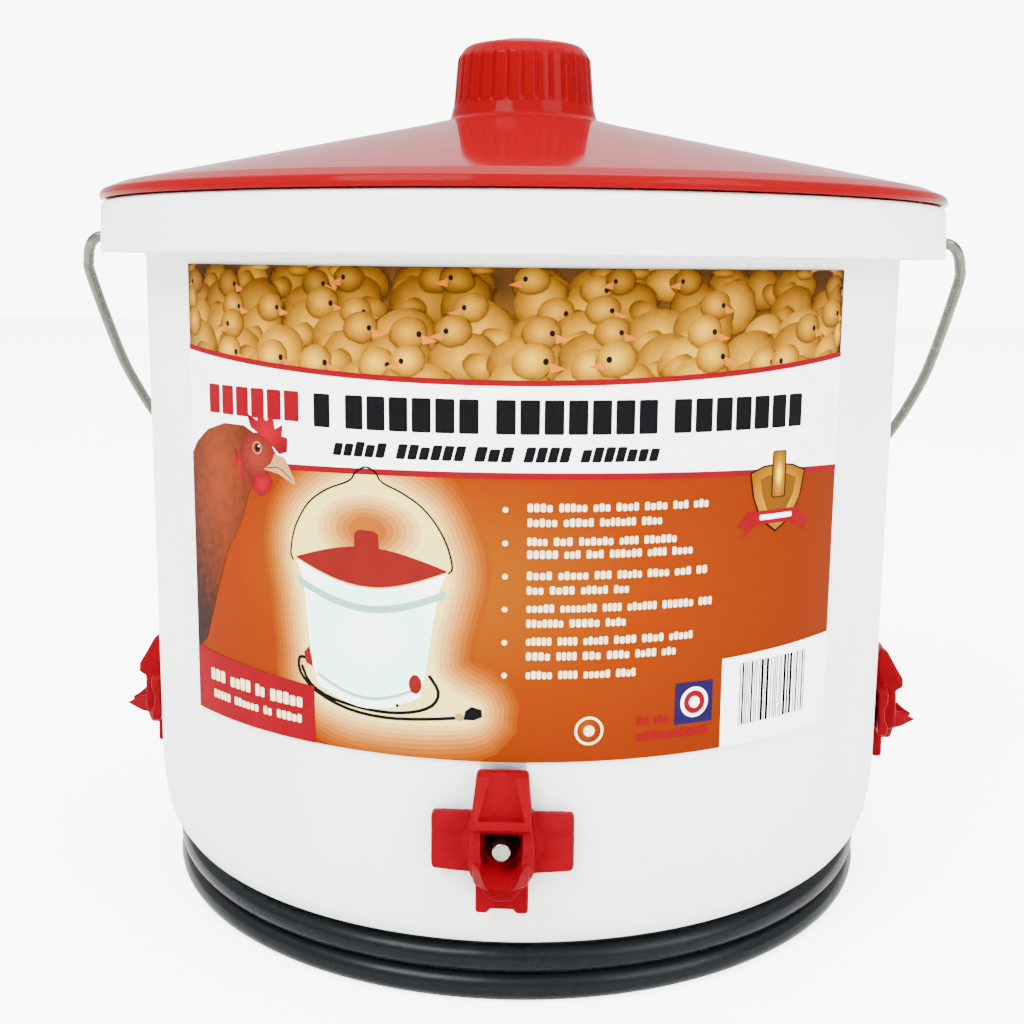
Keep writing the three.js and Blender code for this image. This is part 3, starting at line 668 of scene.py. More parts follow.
inks = {
    "paper": inkMaterial("inkPaper", 0.900, 0.900, 0.900),
    "red": inkMaterial("inkRed", 0.130, 0.0005, 0.0044),
    "black": inkMaterial("inkBlack", 0.0029, 0.0032, 0.0035),
    "cream": inkMaterial("inkCream", 0.72, 0.56, 0.34),
    "navy": inkMaterial("inkNavy", 0.0087, 0.0051, 0.0344),
    "beak": inkMaterial("inkBeak", 0.328, 0.0868, 0.0037),
    "horn": inkMaterial("inkHorn", 0.285, 0.143, 0.0571),
    "comb": shadedInk("inkComb", [(0.1, (0.180, 0.0000, 0.0058)), (0.6, (0.0891, 0.0011, 0.0049))], 0.3, 700),
    "face": shadedInk("inkFace", [(0.1, (0.129, 0.0141, 0.0081)), (0.6, (0.0592, 0.0059, 0.0047))], 0.4, 900),
    "feather": shadedInk("inkFeather", [(0.05, (0.117, 0.0213, 0.0055)), (0.4, (0.0593, 0.0127, 0.0051)),
                                        (0.62, (0.0222, 0.0079, 0.0055)),
                                        (0.85, (0.0096, 0.0065, 0.0061))], 0.5, 420, centre=(0.45, 0.78)),
    "ground": shadedInk("inkGround", [(0.25, (0.0594, 0.0241, 0.0044)), (0.6, (0.0247, 0.0097, 0.0027))], 0.9,
                        110),
    "chickPale": shadedInk("inkChickPale", [(0.0, (0.42, 0.25, 0.012)), (0.24, (0.27, 0.13, 0.004)),
                                            (0.43, (0.12, 0.046, 0.002)),
                                           (0.5, (0.05, 0.018, 0.001))],
                           0.12, 500, centre=(0.42, 0.6), fadeFrom=0.42),
    "chickGold": shadedInk("inkChickGold", [(0.0, (0.32, 0.165, 0.006)), (0.24, (0.2, 0.088, 0.003)),
                                            (0.43, (0.085, 0.032, 0.002)),
                                           (0.5, (0.035, 0.012, 0.001))],
                           0.14, 420, centre=(0.45, 0.6), fadeFrom=0.42),
    "chickDeep": shadedInk("inkChickDeep", [(0.0, (0.2, 0.09, 0.004)), (0.24, (0.125, 0.05, 0.002)),
                                            (0.43, (0.05, 0.018, 0.001)),
                                           (0.5, (0.022, 0.008, 0.001))],
                           0.16, 320, centre=(0.45, 0.58), fadeFrom=0.4),
    "panel": shadedInk("inkPanel", [(0.0, (0.15, 0.042, 0.0)), (0.22, (0.138, 0.027, 0.0)),
                                    (0.4, (0.126, 0.0145, 0.0)),
                                           (0.7, (0.1, 0.011, 0.0005)),
                                           (1.0, (0.084, 0.009, 0.001))], 0.03, 60,
                       squash=(1.35, 0.95), centre=(0.4, 0.62)),
    "bucket": shadedInk("inkBucket", [(0.0, (0.900, 0.900, 0.847)), (0.35, (0.456, 0.900, 0.713)),
                                      (0.55, (0.900, 0.900, 0.900))],
                        0.06, 60),
    "bucketShade": inkMaterial("inkBucketShade", 0.172, 0.342, 0.271),
    "bucketRed": inkMaterial("inkBucketRed", 0.104, 0.0056, 0.0053),
    "gold": shadedInk("inkGold", [(0.0, (0.674, 0.468, 0.0000)), (0.3, (0.220, 0.0893, 0.0000)),
                                  (0.55, (0.125, 0.0441, 0.0000))], 0.05, 200),
    "bronze": inkMaterial("inkBronze", 0.0930, 0.0330, 0.0023),
}
glowSteps = 9
for step in range(glowSteps):
    share = step / (glowSteps - 1)
    inks["glow%d" % step] = inkMaterial("inkGlow%d" % step, 0.145 * 4.2 ** share, 0.026 * 18 ** share,
                                        0.0006 + 0.14 * share ** 3)
inkOrder = list(inks)
printBm = bmesh.new()
pressed = {"count": 0}


def press(outline, ink, layer):
    # outline is in degrees round the wall and millimetres up
    limit = labelShape["halfAngle"]
    bm = bmesh.new()
    printed = bm.loops.layers.uv.new("print")
    flat = [(min(max(a, -limit), limit) * perDegree, min(max(z, labelShape["low"]), labelShape["high"]))
            for a, z in outline]
    xs, zs = [x for x, z in flat], [z for x, z in flat]
    face = bm.faces.new([bm.verts.new((x, z, 0)) for x, z in flat])
    bmesh.ops.triangulate(bm, faces=[face])
    facet = labelShape["facet"]
    for cut in range(math.ceil(min(xs) / facet), math.floor(max(xs) / facet) + 1):
        bmesh.ops.bisect_plane(bm, geom=list(bm.verts) + list(bm.edges) + list(bm.faces),
                               plane_co=(cut * facet, 0, 0), plane_no=(1, 0, 0), dist=1e-5)
    width, height = max(max(xs) - min(xs), 0.01), max(max(zs) - min(zs), 0.01)
    pressed["count"] += 1
    lift = labelShape["standOff"] + labelShape["thick"] + labelShape["ply"] * (layer + 1)
    if layer < 5:
        lift += 0.00008 * pressed["count"]   # chicks overlap within one layer
    if layer >= 7 and not ink.startswith("glow"):
        lift += labelShape["ply"] * 6        # room for the glow's own steps
    for face in bm.faces:
        face.material_index = inkOrder.index(ink)
        face.smooth = True
        for loop in face.loops:
            loop[printed].uv = ((loop.vert.co.x - min(xs)) / width, (loop.vert.co.y - min(zs)) / height)
    for vert in bm.verts:
        vert.co = onWall(vert.co.x, vert.co.y, lift)
    bm.normal_update()
    for face in bm.faces:
        middle = face.calc_center_median()
        if face.normal.x * middle.x + face.normal.y * middle.y < 0:
            face.normal_flip()
    mesh = bpy.data.meshes.new("pressed")
    bm.to_mesh(mesh)
    bm.free()
    printBm.from_mesh(mesh)
    bpy.data.meshes.remove(mesh)


def oval(a, z, wide, high, points=28, lean=0.0):
    # wide and high are radii in millimetres
    ring = []
    for i in range(points):
        turn = 2 * math.pi * i / points
        x, y = wide * math.cos(turn), high * math.sin(turn)
        ring.append((a + (x * math.cos(lean) - y * math.sin(lean)) / perDegree,
                     z + x * math.sin(lean) + y * math.cos(lean)))
    return ring


def stroke(points, width, times=4):
    # a line of ink of one width along a smooth route
    route = smoothRoute([Vector((a * perDegree, z)) for a, z in points], times)
    left, right = [], []
    for i, here in enumerate(route):
        along = route[min(i + 1, len(route) - 1)] - route[max(i - 1, 0)]
        aside = Vector((-along.y, along.x)).normalized() * width / 2
        left.append(here + aside)
        right.append(here - aside)
    return [(p.x / perDegree, p.y) for p in left + right[::-1]]


def pressStroke(points, width, ink, layer, times=4):
    route = stroke(points, width, times)
    half = len(route) // 2
    left, right = route[:half], route[half:][::-1]
    for i in range(half - 1):
        press([left[i], left[i + 1], right[i + 1], right[i]], ink, layer)


def spreadOutline(ring, distance):
    # a closed outline moved outwards all round
    out = []
    for i, here in enumerate(ring):
        along = (ring[(i + 1) % len(ring)] - ring[i - 1]).normalized()
        away = here + Vector((-along.y, along.x)) * distance
        out.append((away.x / perDegree, away.y))
    return out


def bar(a0, a1, z0, z1, lean=0.0, soft=0.3):
    # a bar with its corners taken off, leaning to the right as it rises
    da = min(soft / perDegree, (a1 - a0) * 0.3)
    dz = min(soft, (z1 - z0) * 0.3)
    ring = [(a0 + da, z0), (a1 - da, z0), (a1, z0 + dz), (a1, z1 - dz), (a1 - da, z1), (a0 + da, z1),
            (a0, z1 - dz), (a0, z0 + dz)]
    return [(a + lean * (z - z0) / perDegree, z) for a, z in ring]


def pressWord(rng, a0, a1, z0, z1, letter, ink, layer, lean=0.0):
    # a plain row of strokes stands where a word would be
    count = max(1, round((a1 - a0) * perDegree / letter))
    pitch = (a1 - a0) / count
    for i in range(count):
        start = a0 + i * pitch
        high = z1 - (rng.choice((0, 0, 0.16)) * (z1 - z0) if letter < 6 else 0)
        press(bar(start, start + pitch * 0.82, z0, high, lean), ink, layer)


def firstLine(a):
    return 171.2 + 5.8 * (a / 47) ** 2


def secondLine(a):
    return 147.6 - 2.4 * (a / 47) ** 2


def band(lower, upper, start, end, steps=48):
    low = [(start + (end - start) * i / steps,
            lower(start + (end - start) * i / steps)) for i in range(steps + 1)]
    high = [(a, upper(a)) for a, z in low[::-1]]
    return low + high


def pressChicks(rng):
    press(band(lambda a: 168, lambda a: 201, -47.3, 47.3), "ground", 0)
    rows = [(199, 7.0, "chickDeep", 13.5), (192.5, 7.6, "chickDeep", 14.5), (185.5, 8.2, "chickGold", 15.5),
            (178.5, 8.8, "chickGold", 16.5), (171.5, 9.2, "chickPale", 17.0)]
    for row, (z, size, ink, spacing) in enumerate(rows):
        count = int(2 * labelShape["halfAngle"] * perDegree / spacing) + 1
        for i in range(count + 1):
            a = -labelShape["halfAngle"] + (i + rng.uniform(-0.3,
                                                            0.3) + 0.5 * (row % 2)) * spacing / perDegree
            if abs(a) > labelShape["halfAngle"] + 1:
                continue
            down = rng.choice((ink, ink, "chickPale" if row > 1 else "chickGold"))
            facing = rng.choice((-1, 1, 1))
            high = z + rng.uniform(-1.6, 1.6)
            press(oval(a, high - size * 0.4, size * rng.uniform(0.95, 1.35), size * rng.uniform(0.9, 1.15),
                       lean=rng.uniform(-0.5, 0.5)), down, row)
            press(oval(a - facing * size * 0.5 / perDegree, high - size * 0.55, size * 0.7, size * 0.42,
                       lean=facing * 0.5), ink, row)
            if rng.random() < 0.22:
                continue
            head = size * rng.uniform(0.56, 0.66)
            headA, headZ = a + facing * size * 0.36 / perDegree, high + size * 0.5
            press(oval(headA, headZ, head * 1.04, head * 0.94), down, row)
            beakA = headA + facing * head * 0.8 / perDegree
            tip = facing * head * 0.5 / perDegree
            press([(beakA - tip * 0.5, headZ + head * 0.1), (beakA + tip, headZ - head * 0.2),
                   (beakA - tip * 0.4, headZ - head * 0.36)][::facing], "beak", row)
            press(oval(headA + facing * head * 0.42 / perDegree, headZ + head * 0.12, head * 0.13,
                       head * 0.15, 12),
                  "black", row)


def pressHen():
    press([(-47.3, 88.6), (-44.9, 92.7), (-41.8, 108.6), (-39.7, 119.4), (-36.4, 130.3), (-35.4, 136),
           (-33.9, 143), (-32.6, 149.5), (-33.2, 154.4), (-35.6, 156.7), (-39.4, 156.7), (-43.2, 154.2),
           (-46, 150), (-47.3, 146.5)],
          "feather", 8.5)
    press([(-35.8, 154.6), (-33, 155.2), (-30.9, 152.4), (-29.9, 149.2), (-31.2, 145.2), (-32.9, 143.2),
           (-34.8, 141.8), (-35.9, 144.8), (-36.6, 149.6)], "face", 9)
    press([(-34.4, 156.4), (-35.1, 160.4), (-33.2, 158.4), (-33.1, 161.4), (-31.6, 158.6), (-30.6, 161),
           (-30.2, 156.6), (-28.9, 158), (-29.1, 154.9), (-28.2, 154.4), (-28.3, 150.6), (-29.6, 149.8),
           (-31, 152.4), (-32.6, 154.6)],
          "comb", 10)
    press([(-34.3, 142.8), (-31.6, 144.4), (-30.8, 142), (-31.5, 139), (-32.9, 137.6), (-34.3, 139.2)],
          "comb", 10)
    press([(-37.5, 150), (-36.9, 149.4), (-36, 144), (-35.8, 140.4), (-36.6, 142.6), (-37.4, 146.6)], "comb",
          10)
    press([(-30.3, 149.8), (-28.7, 149), (-27.1, 142.8), (-27.3, 141.9), (-29.8, 144.4), (-32.2, 145.2),
           (-31, 147)],
          "horn", 11)
    pressStroke([(-31.8, 145.6), (-29.6, 146), (-27.6, 143)], 0.28, "black", 12, 3)
    press(oval(-33.3, 150.9, 1.7, 1.75), "horn", 10)
    press(oval(-33.3, 150.9, 1.35, 1.4), "bucketRed", 11)
    press(oval(-33.2, 150.9, 0.85, 0.95), "black", 12)
    press(oval(-33.0, 151.4, 0.22, 0.22, 10), "paper", 13)


def pressBucket():
    halo = [(-25.8, 95), (-26.2, 104), (-26.8, 113), (-27.5, 121), (-27.5, 129), (-25.8, 136), (-22.8, 141.4),
            (-19.6, 144.8), (-17, 147.5), (-14.6, 144.6), (-12.2, 142), (-9.4, 137.8), (-7.6, 131),
            (-6.4, 122), (-7.2, 113), (-8.2, 104), (-8.4, 95), (-6, 89.5), (-3.2, 86), (-3.4, 82),
            (-7.5, 80.4), (-15, 79.8), (-21, 81), (-25.4, 86)]
    ring = smoothRoute([Vector((a * perDegree, z)) for a, z in halo + halo[:1]], 3)[:-1]
    for step in range(glowSteps):
        press(spreadOutline(ring, 10.5 - 1.3 * step), "glow%d" % step, 6 + 0.6 * step)
    # inside the small bail the light falls off again
    for step in range(6):
        press(oval(-17, 131.5, 15 - 1.9 * step, 9.4 - 1.15 * step, 32), "glow%d" % (7 - step),
              11 + 0.35 * step)
    pressStroke([(-25.5, 94.3), (-26.9, 94.4), (-26.8, 90.2), (-24.4, 85.6), (-19.9, 82.2), (-15, 81.1),
                 (-10.2, 81.6), (-5.8, 82.6)], 0.9, "black", 8, 3)
    pressStroke([(-9.2, 93.7), (-8, 89.4), (-8.8, 85.5), (-11.6, 83.2), (-15.9, 82.6), (-21.7, 84.2),
                 (-25.2, 87.4), (-26.6, 92.3)], 0.9, "black", 8, 3)
    rim = [(-27.1 + 20.1 * i / 16,
            121.7 - 0.5 * i / 16 - 5.6 * math.sin(math.pi * i / 16)) for i in range(17)]
    foot = [(-24.2 + 13.9 * i / 12, 88 - 0.6 * i / 12 - 4.6 * math.sin(math.pi * i / 12)) for i in range(13)]
    press(rim + [(-7.9, 116.6), (-8.8, 105.5), (-9.6, 94.2)] + foot[::-1] + [(-25.1, 95), (-25.7, 107.4),
                                                                             (-26.1, 116)],
          "bucket", 9)
    shade = [(a * 0.985 - 0.26, z - 4.6) for a, z in rim]
    press(shade + [(a, z - 2.0) for a, z in shade[::-1]], "bucketShade", 10)
    fold = [(a, z + 3.2) for a, z in foot]
    press(fold + [(a, z - 0.9) for a, z in fold[::-1]], "bucketShade", 10)
    top = [(-7 - 20.1 * i / 16, 122 + 0.4 * i / 16 + 4.8 * math.sin(math.pi * i / 16)) for i in range(17)]
    press([(a, z + 0.4) for a, z in rim] + top, "bucketRed", 11)
    press([(-18.8, 126), (-18.7, 130.6), (-18.2, 131.4), (-16.2, 131.4), (-15.6, 130.6), (-15.4, 126)],
          "bucketRed", 12)
    pressStroke([(-27.6, 121.3), (-28, 123.6), (-27.2, 130.6), (-25.2, 137.4), (-22.5, 141.6), (-19.4, 144.4),
                 (-18.4, 147), (-17.1, 148.4), (-15.9, 147.2), (-15, 144.6), (-12.6, 142.2), (-10.2, 138.9),
                 (-8.4, 134.5), (-7, 129.1), (-6.3, 123.1), (-6.8, 121.2)], 0.5, "black", 13, 4)
    press([(-25.9, 93.2), (-26.2, 96), (-25.4, 98), (-25, 95), (-24.9, 92.4)], "bucketRed", 12)
    press(oval(-10.9, 91, 1.8, 2.6), "bucketRed", 12)
    press(oval(-13.2, 84.8, 0.5, 0.5, 12), "black", 12)
    press(oval(-5.4, 82.9, 1.2, 1.1, 16), "horn", 9)
    press([(-4.9, 82.2), (-4.7, 84.6), (-3.9, 85.9), (-2.7, 85.1), (-2.6, 83.2), (-3.6, 82.2)], "black", 10)


def pressBadge():
    shield = [(31.4, 146), (33.4, 147.6), (35.8, 148), (38.2, 147.4), (40.4, 145.6), (39.7, 138.6), (38, 133),
              (35.6, 130), (33.2, 133.6), (32, 139.4)]
    middle = (35.9, 140.4)

    def shrink(share):
        return [(middle[0] + (a - middle[0]) * share, middle[1] + (z - middle[1]) * share) for a, z in shield]

    press(shrink(1.06), "black", 8.5)
    press(shrink(1.0), "gold", 9)
    press(shrink(0.68), "bronze", 10)
    press(bar(34.7, 37.1, 138.9, 151.9, soft=0.5), "black", 11)
    press(bar(34.9, 36.9, 139.2, 151.6, soft=0.4), "gold", 12)
    press([(29.6, 131.8), (31.1, 135.8), (32.2, 135.2), (32.3, 131.8), (30.4, 128.6), (30.8, 131)], "red", 10)
    press([(39, 135.4), (41.5, 131.4), (40.7, 128.6), (40.1, 130.4), (38.4, 131)], "red", 10)
    press([(31.8, 135.6), (39.5, 135.6), (39.2, 131.9), (32.1, 131.9)], "red", 13)
    press(bar(32.9, 38.4, 133.1, 134.5), "paper", 14)


def pressLabel():
    rng = random.Random(4)
    pressChicks(rng)
    press(band(lambda a: secondLine(a) - 0.2, firstLine, -47.3, 47.3), "paper", 7)
    press(band(lambda a: firstLine(a) - 0.5, lambda a: firstLine(a) + 1.0, -47.3, 47.3), "red", 8)
    press(band(lambda a: 71, lambda a: secondLine(a) - 0.6, -47.3, 47.3), "panel", 5)
    press(band(lambda a: secondLine(a) - 0.9, lambda a: secondLine(a) + 0.7, -47.3, 47.3), "red", 8)
    pressWord(rng, -42.6, -25.9, 159.2, 167.4, 6.4, "red", 9)
    for start, end in ((-24.2, -21.4), (-19.8, -2.7), (-1.2, 18.6), (20.2, 40.0)):
        pressWord(rng, start, end, 158.2, 167.2, 6.4, "black", 9)
    for start, end in ((-21.6, -14.5), (-13.3, -4.8), (-3.8, 0.9), (2, 7.6), (8.7, 18.4)):
        pressWord(rng, start, end, 151, 155, 3.2, "black", 9, lean=0.25)
    lines = [(139.2, 25.3), (135.3, 19.1), (130.3, 22.9), (126.9, 23.3), (121.3, 25.4), (117.4, 15.1),
             (112.6, 26.2), (108.6, 14.8), (103.8, 23.7), (99.8, 21.4), (94.8, 16.2)]
    for z, end in lines:
        a = 2.6
        while a < end - 1.2:
            stop = min(a + rng.uniform(2.0, 4.6), end)
            pressWord(rng, a, stop, z - 1.1, z + 1.1, 1.5, "cream", 8)
            a = stop + 0.65
    for z in (138.6, 129.8, 121, 112.3, 103.4, 94.6):
        press(oval(0, z, 0.75, 0.75, 14), "cream", 8)
    pressHen()
    pressBucket()
    pressBadge()
    press([(-47.3, 71), (-24.7, 71), (-24.7, 86.9), (-47.3, 89.6)], "red", 13)
    for start, end, z in ((-44, -40.6, 82.6), (-39.6, -35.4, 82.4), (-34.6, -32.8, 82.2),
                          (-31.9, -26.4, 81.9)):
        pressWord(rng, start, end, z - 1.7, z + 1.7, 2.2, "cream", 14)
    for start, end in ((-43.4, -39.6), (-38.8, -34), (-33.2, -31.6), (-30.8, -26.6)):
        pressWord(rng, start, end, 75.8, 78.2, 1.7, "cream", 14)
    press(bar(21.4, 26.7, 79.2, 90.6, soft=0.2), "navy", 8)
    for radius, ink, layer in ((4.2, "paper", 9), (3.2, "red", 10), (1.6, "paper", 11)):
        press(oval(24.1, 85, radius, radius), ink, layer)
    for start, end in ((16.4, 18.2), (18.6, 20.6)):
        pressWord(rng, start, end, 80.2, 82.4, 1.7, "red", 9)
    pressWord(rng, 16.4, 26.2, 75.8, 78.2, 2.2, "red", 9)
    for radius, ink, layer in ((3.9, "cream", 8), (3.2, "panel", 9), (1.5, "cream", 10)):
        press(oval(10.4, 79.4, radius, radius), ink, layer)
    press([(28, 71), (47.3, 71), (47.3, 97.2), (28, 95.8)], "paper", 9)
    a = 30.8
    while a < 42.4:
        wide = rng.choice((0.16, 0.16, 0.3, 0.45))
        press([(a, 76.4), (a + wide, 76.4), (a + wide, 93.9), (a, 93.9)], "black", 10)
        a += wide + rng.choice((0.14, 0.2, 0.32))


def makeLabel():
    shape = labelShape
    wall = wallSheet(shape["low"], shape["high"], shape["halfAngle"], shape["thick"],
                     shape["standOff"] + shape["thick"])
    sheet = makePiece("label_sheet", wall, inks["paper"], "fount", ["label"])
    pressLabel()
    mesh = bpy.data.meshes.new("label_print")
    printBm.to_mesh(mesh)
    printBm.free()
    ink = bpy.data.objects.new("label_print", mesh)
    bpy.context.scene.collection.objects.link(ink)
    for name in inkOrder:
        mesh.materials.append(inks[name])
    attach(ink, "fount")


makeLabel()
print("label printed, %d shapes" % pressed["count"])


# lid with its fluted knob
lidShape = {
    "steps": 360,
    "apexZ": 255.5,
    "slope": 0.2204,
    "knobTopZ": 278.3,
    "shell": 2.4,
    "flutes": 30,
    "fluteDepth": 0.7,
    "grooveShare": 0.17,
    "fluteLow": 256.0,
    "fluteHigh": 273,
}


def coneZ(radius):
    return lidShape["apexZ"] - lidShape["slope"] * radius


def denseBetween(path, low, high, step):
    # extra points where the flutes will be pressed in
    out = [path[0]]
    for a, b in zip(path, path[1:]):
        count = 1
        if max(a.y, b.y) > low and min(a.y, b.y) < high:
            count = max(1, int((b - a).length / step))
        out += [a.lerp(b, i / count) for i in range(1, count + 1)]
    return out


def makeLid():
    shape = lidShape
    shell, bottom = shape["shell"], 220.7
    outside = softOutline([
        (0, shape["knobTopZ"], 0), (9, 277.5, 20), (20, 275.2, 4), (22.8, 271.2, 3), (24.1, 255, 3),
        (25.3, 250.3, 2.2), (36, 247.6, 8), (60, coneZ(60), 0), (134.3, coneZ(134.3), 2.5),
        (139.6, 223.7, 1.2), (140.3, 221.9, 0.8), (139.9, bottom, 0.3), (133, bottom, 0.2)], 7)
    inside = softOutline([
        (131.6, coneZ(131.6) - shell, 0), (123.4, coneZ(123.4) - shell, 0.6), (122.7, 214.4, 0.4),
        (120.6, 214.4, 0.4), (120.1, coneZ(120.1) - shell, 0.6), (36, coneZ(36) - shell, 8), (26, 246.6, 5),
        (21.9, 251, 4), (20.6, 270, 4), (18.2, 274.6, 5), (0, 276, 0)], 5)
    bm = bmesh.new()
    spinOutline(bm, denseBetween(outside, 254, 276, 0.8) + inside, shape["steps"])
    for vert in bm.verts:
        radius = math.hypot(vert.co.x, vert.co.y) / mm
        z = vert.co.z / mm
        if not (21.6 < radius < 25.5 and 254 < z < 277):
            continue
        fade = smoothStep(shape["fluteLow"] - 1.2, shape["fluteLow"] + 0.6, z)
        fade *= 1 - smoothStep(shape["fluteHigh"] - 2.5, shape["fluteHigh"], z)
        turn = math.atan2(vert.co.y, vert.co.x) * shape["flutes"] / (2 * math.pi)
        groove = max(0, 1 - abs((turn % 1) - 0.5) / shape["grooveShare"])
        pressed = (radius - shape["fluteDepth"] * fade * groove ** 0.8) / radius
        vert.co.x *= pressed
        vert.co.y *= pressed
    piece = makePiece("cone_lid", bm, paints["lidRed"], "lid_body", ["lid"], 26)


makeLid()
print("lid turned")


# bail
bailShape = {
    "radius": 1.9,
    "drop": 48.6,
    "halfWidth": 154.8,
    "shoulderBase": 20,
    "shoulderHeight": 170,
    "reach": 212,
    "squareness": 0.8,
    "sidePlay": 1.2,    # the wire has slid this far to the left in its holes
}


def makeBail():
    shape = bailShape
    stub = [(131, 0), (138, 0), (145, 0), (148.6, 0.9), (151.5, 4.4), (153.7, 10.8),
            (shape["halfWidth"], shape["shoulderBase"])]
    sweep = []
    for angle in range(9, 76, 6):
        sweep.append((shape["halfWidth"] * math.cos(math.radians(angle)) ** shape["squareness"],
                      shape["shoulderBase"] + shape["shoulderHeight"]
                      * math.sin(math.radians(angle)) ** shape["squareness"]))
    hump = [(31, 189.4), (24.5, 192.4), (19, 198.6), (12.8, 206.6), (6.6, 210.9)]
    half = stub + sweep + hump
    flat = [(-x, reach) for x, reach in half] + [(0, shape["reach"])] + half[::-1]
    drop = math.radians(shape["drop"])
    route = [Vector((x, reach * math.cos(drop), pailShape["pivotZ"] - reach * math.sin(drop))) * mm
             for x, reach in flat]
    route = [point - Vector((shape["sidePlay"] * mm, 0, 0)) for point in route]
    wire = curveThrough("bail_wire", smoothRoute(route, 8), shape["radius"], paints["wire"], "bail_body", 7)
    bm = bmesh.new()
    for side in (-1, 1):
        head = rodMesh(bm, Vector((side * 130.3, 0, pailShape["pivotZ"])) * mm,
                       Vector((side * 131.8, 0, pailShape["pivotZ"])) * mm, 3.2 * mm, 3.2 * mm, 32)
        rims = dict.fromkeys(edge for vert in head for edge in vert.link_edges)
        bmesh.ops.bevel(bm, geom=list(rims), offset=0.4 * mm, affect="EDGES", segments=3, profile=0.5,
                        material=-1)
    heads = makePiece("bail_heads", bm, paints["wire"], "bail_body")
    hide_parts("bail")


makeBail()
print("bail bent")


# side nipples
nippleShape = {
    "armReach": 18.9,
    "armHalfHeight": 7.7,
    "postTop": 19.1,
    "postHalfWidth": 7.0,
    "flangeBack": 124.5,
    "flangeFace": 127.7,
    "cupFace": 131.6,
    "voxel": 0.3,
}


def outlinePrism(bm, corners, depth, place, radius=0.0, segments=4):
    # an outline drawn in its own plane, extruded, with its far edge rounded
    face = bm.faces.new([bm.verts.new((x, y, 0)) for x, y in corners])
    made = bmesh.ops.extrude_face_region(bm, geom=[face])["geom"]
    top = [item for item in made if isinstance(item, bmesh.types.BMVert)]
    bmesh.ops.translate(bm, vec=(0, 0, depth), verts=top)
    verts = list(face.verts) + top
    if radius:
        rim = dict.fromkeys(edge for vert in top for edge in vert.link_edges if edge.other_vert(vert) in top)
        made = bmesh.ops.bevel(bm, geom=list(rim), offset=radius, affect="EDGES", segments=segments,
                               profile=0.5, material=-1)
        verts = list(dict.fromkeys([vert for vert in verts if vert.is_valid] + made["verts"]))
    bmesh.ops.transform(bm, matrix=place, verts=verts)
    return verts


# a nipple's own frame has X away from the pail and Z up; these turn a drawing plane into it
outwards = Matrix(((0, 0, 1, 0), (1, 0, 0, 0), (0, 1, 0, 0), (0, 0, 0, 1)))
sideways = Matrix(((1, 0, 0, 0), (0, 0, -1, 0), (0, 1, 0, 0), (0, 0, 0, 1)))


def crossCorners():
    shape = nippleShape
    post, top = shape["postHalfWidth"], shape["postTop"]
    reach, arm = shape["armReach"], shape["armHalfHeight"]
    quarter = [(post, top, 1.2), (post, arm + 0.4, 1.4), (reach, arm, 1.2), (reach, -arm, 1.2),
               (post, -arm - 0.4, 1.4), (post, -top, 0.5), (3.8, -top, 0.4), (3.2, -top + 1.5, 0.4)]
    other = [(-x, y, radius) for x, y, radius in quarter[::-1]]
    ring = quarter + other
    return softOutline([ring[-1]] + ring + [ring[0]], 4)[1:-1]


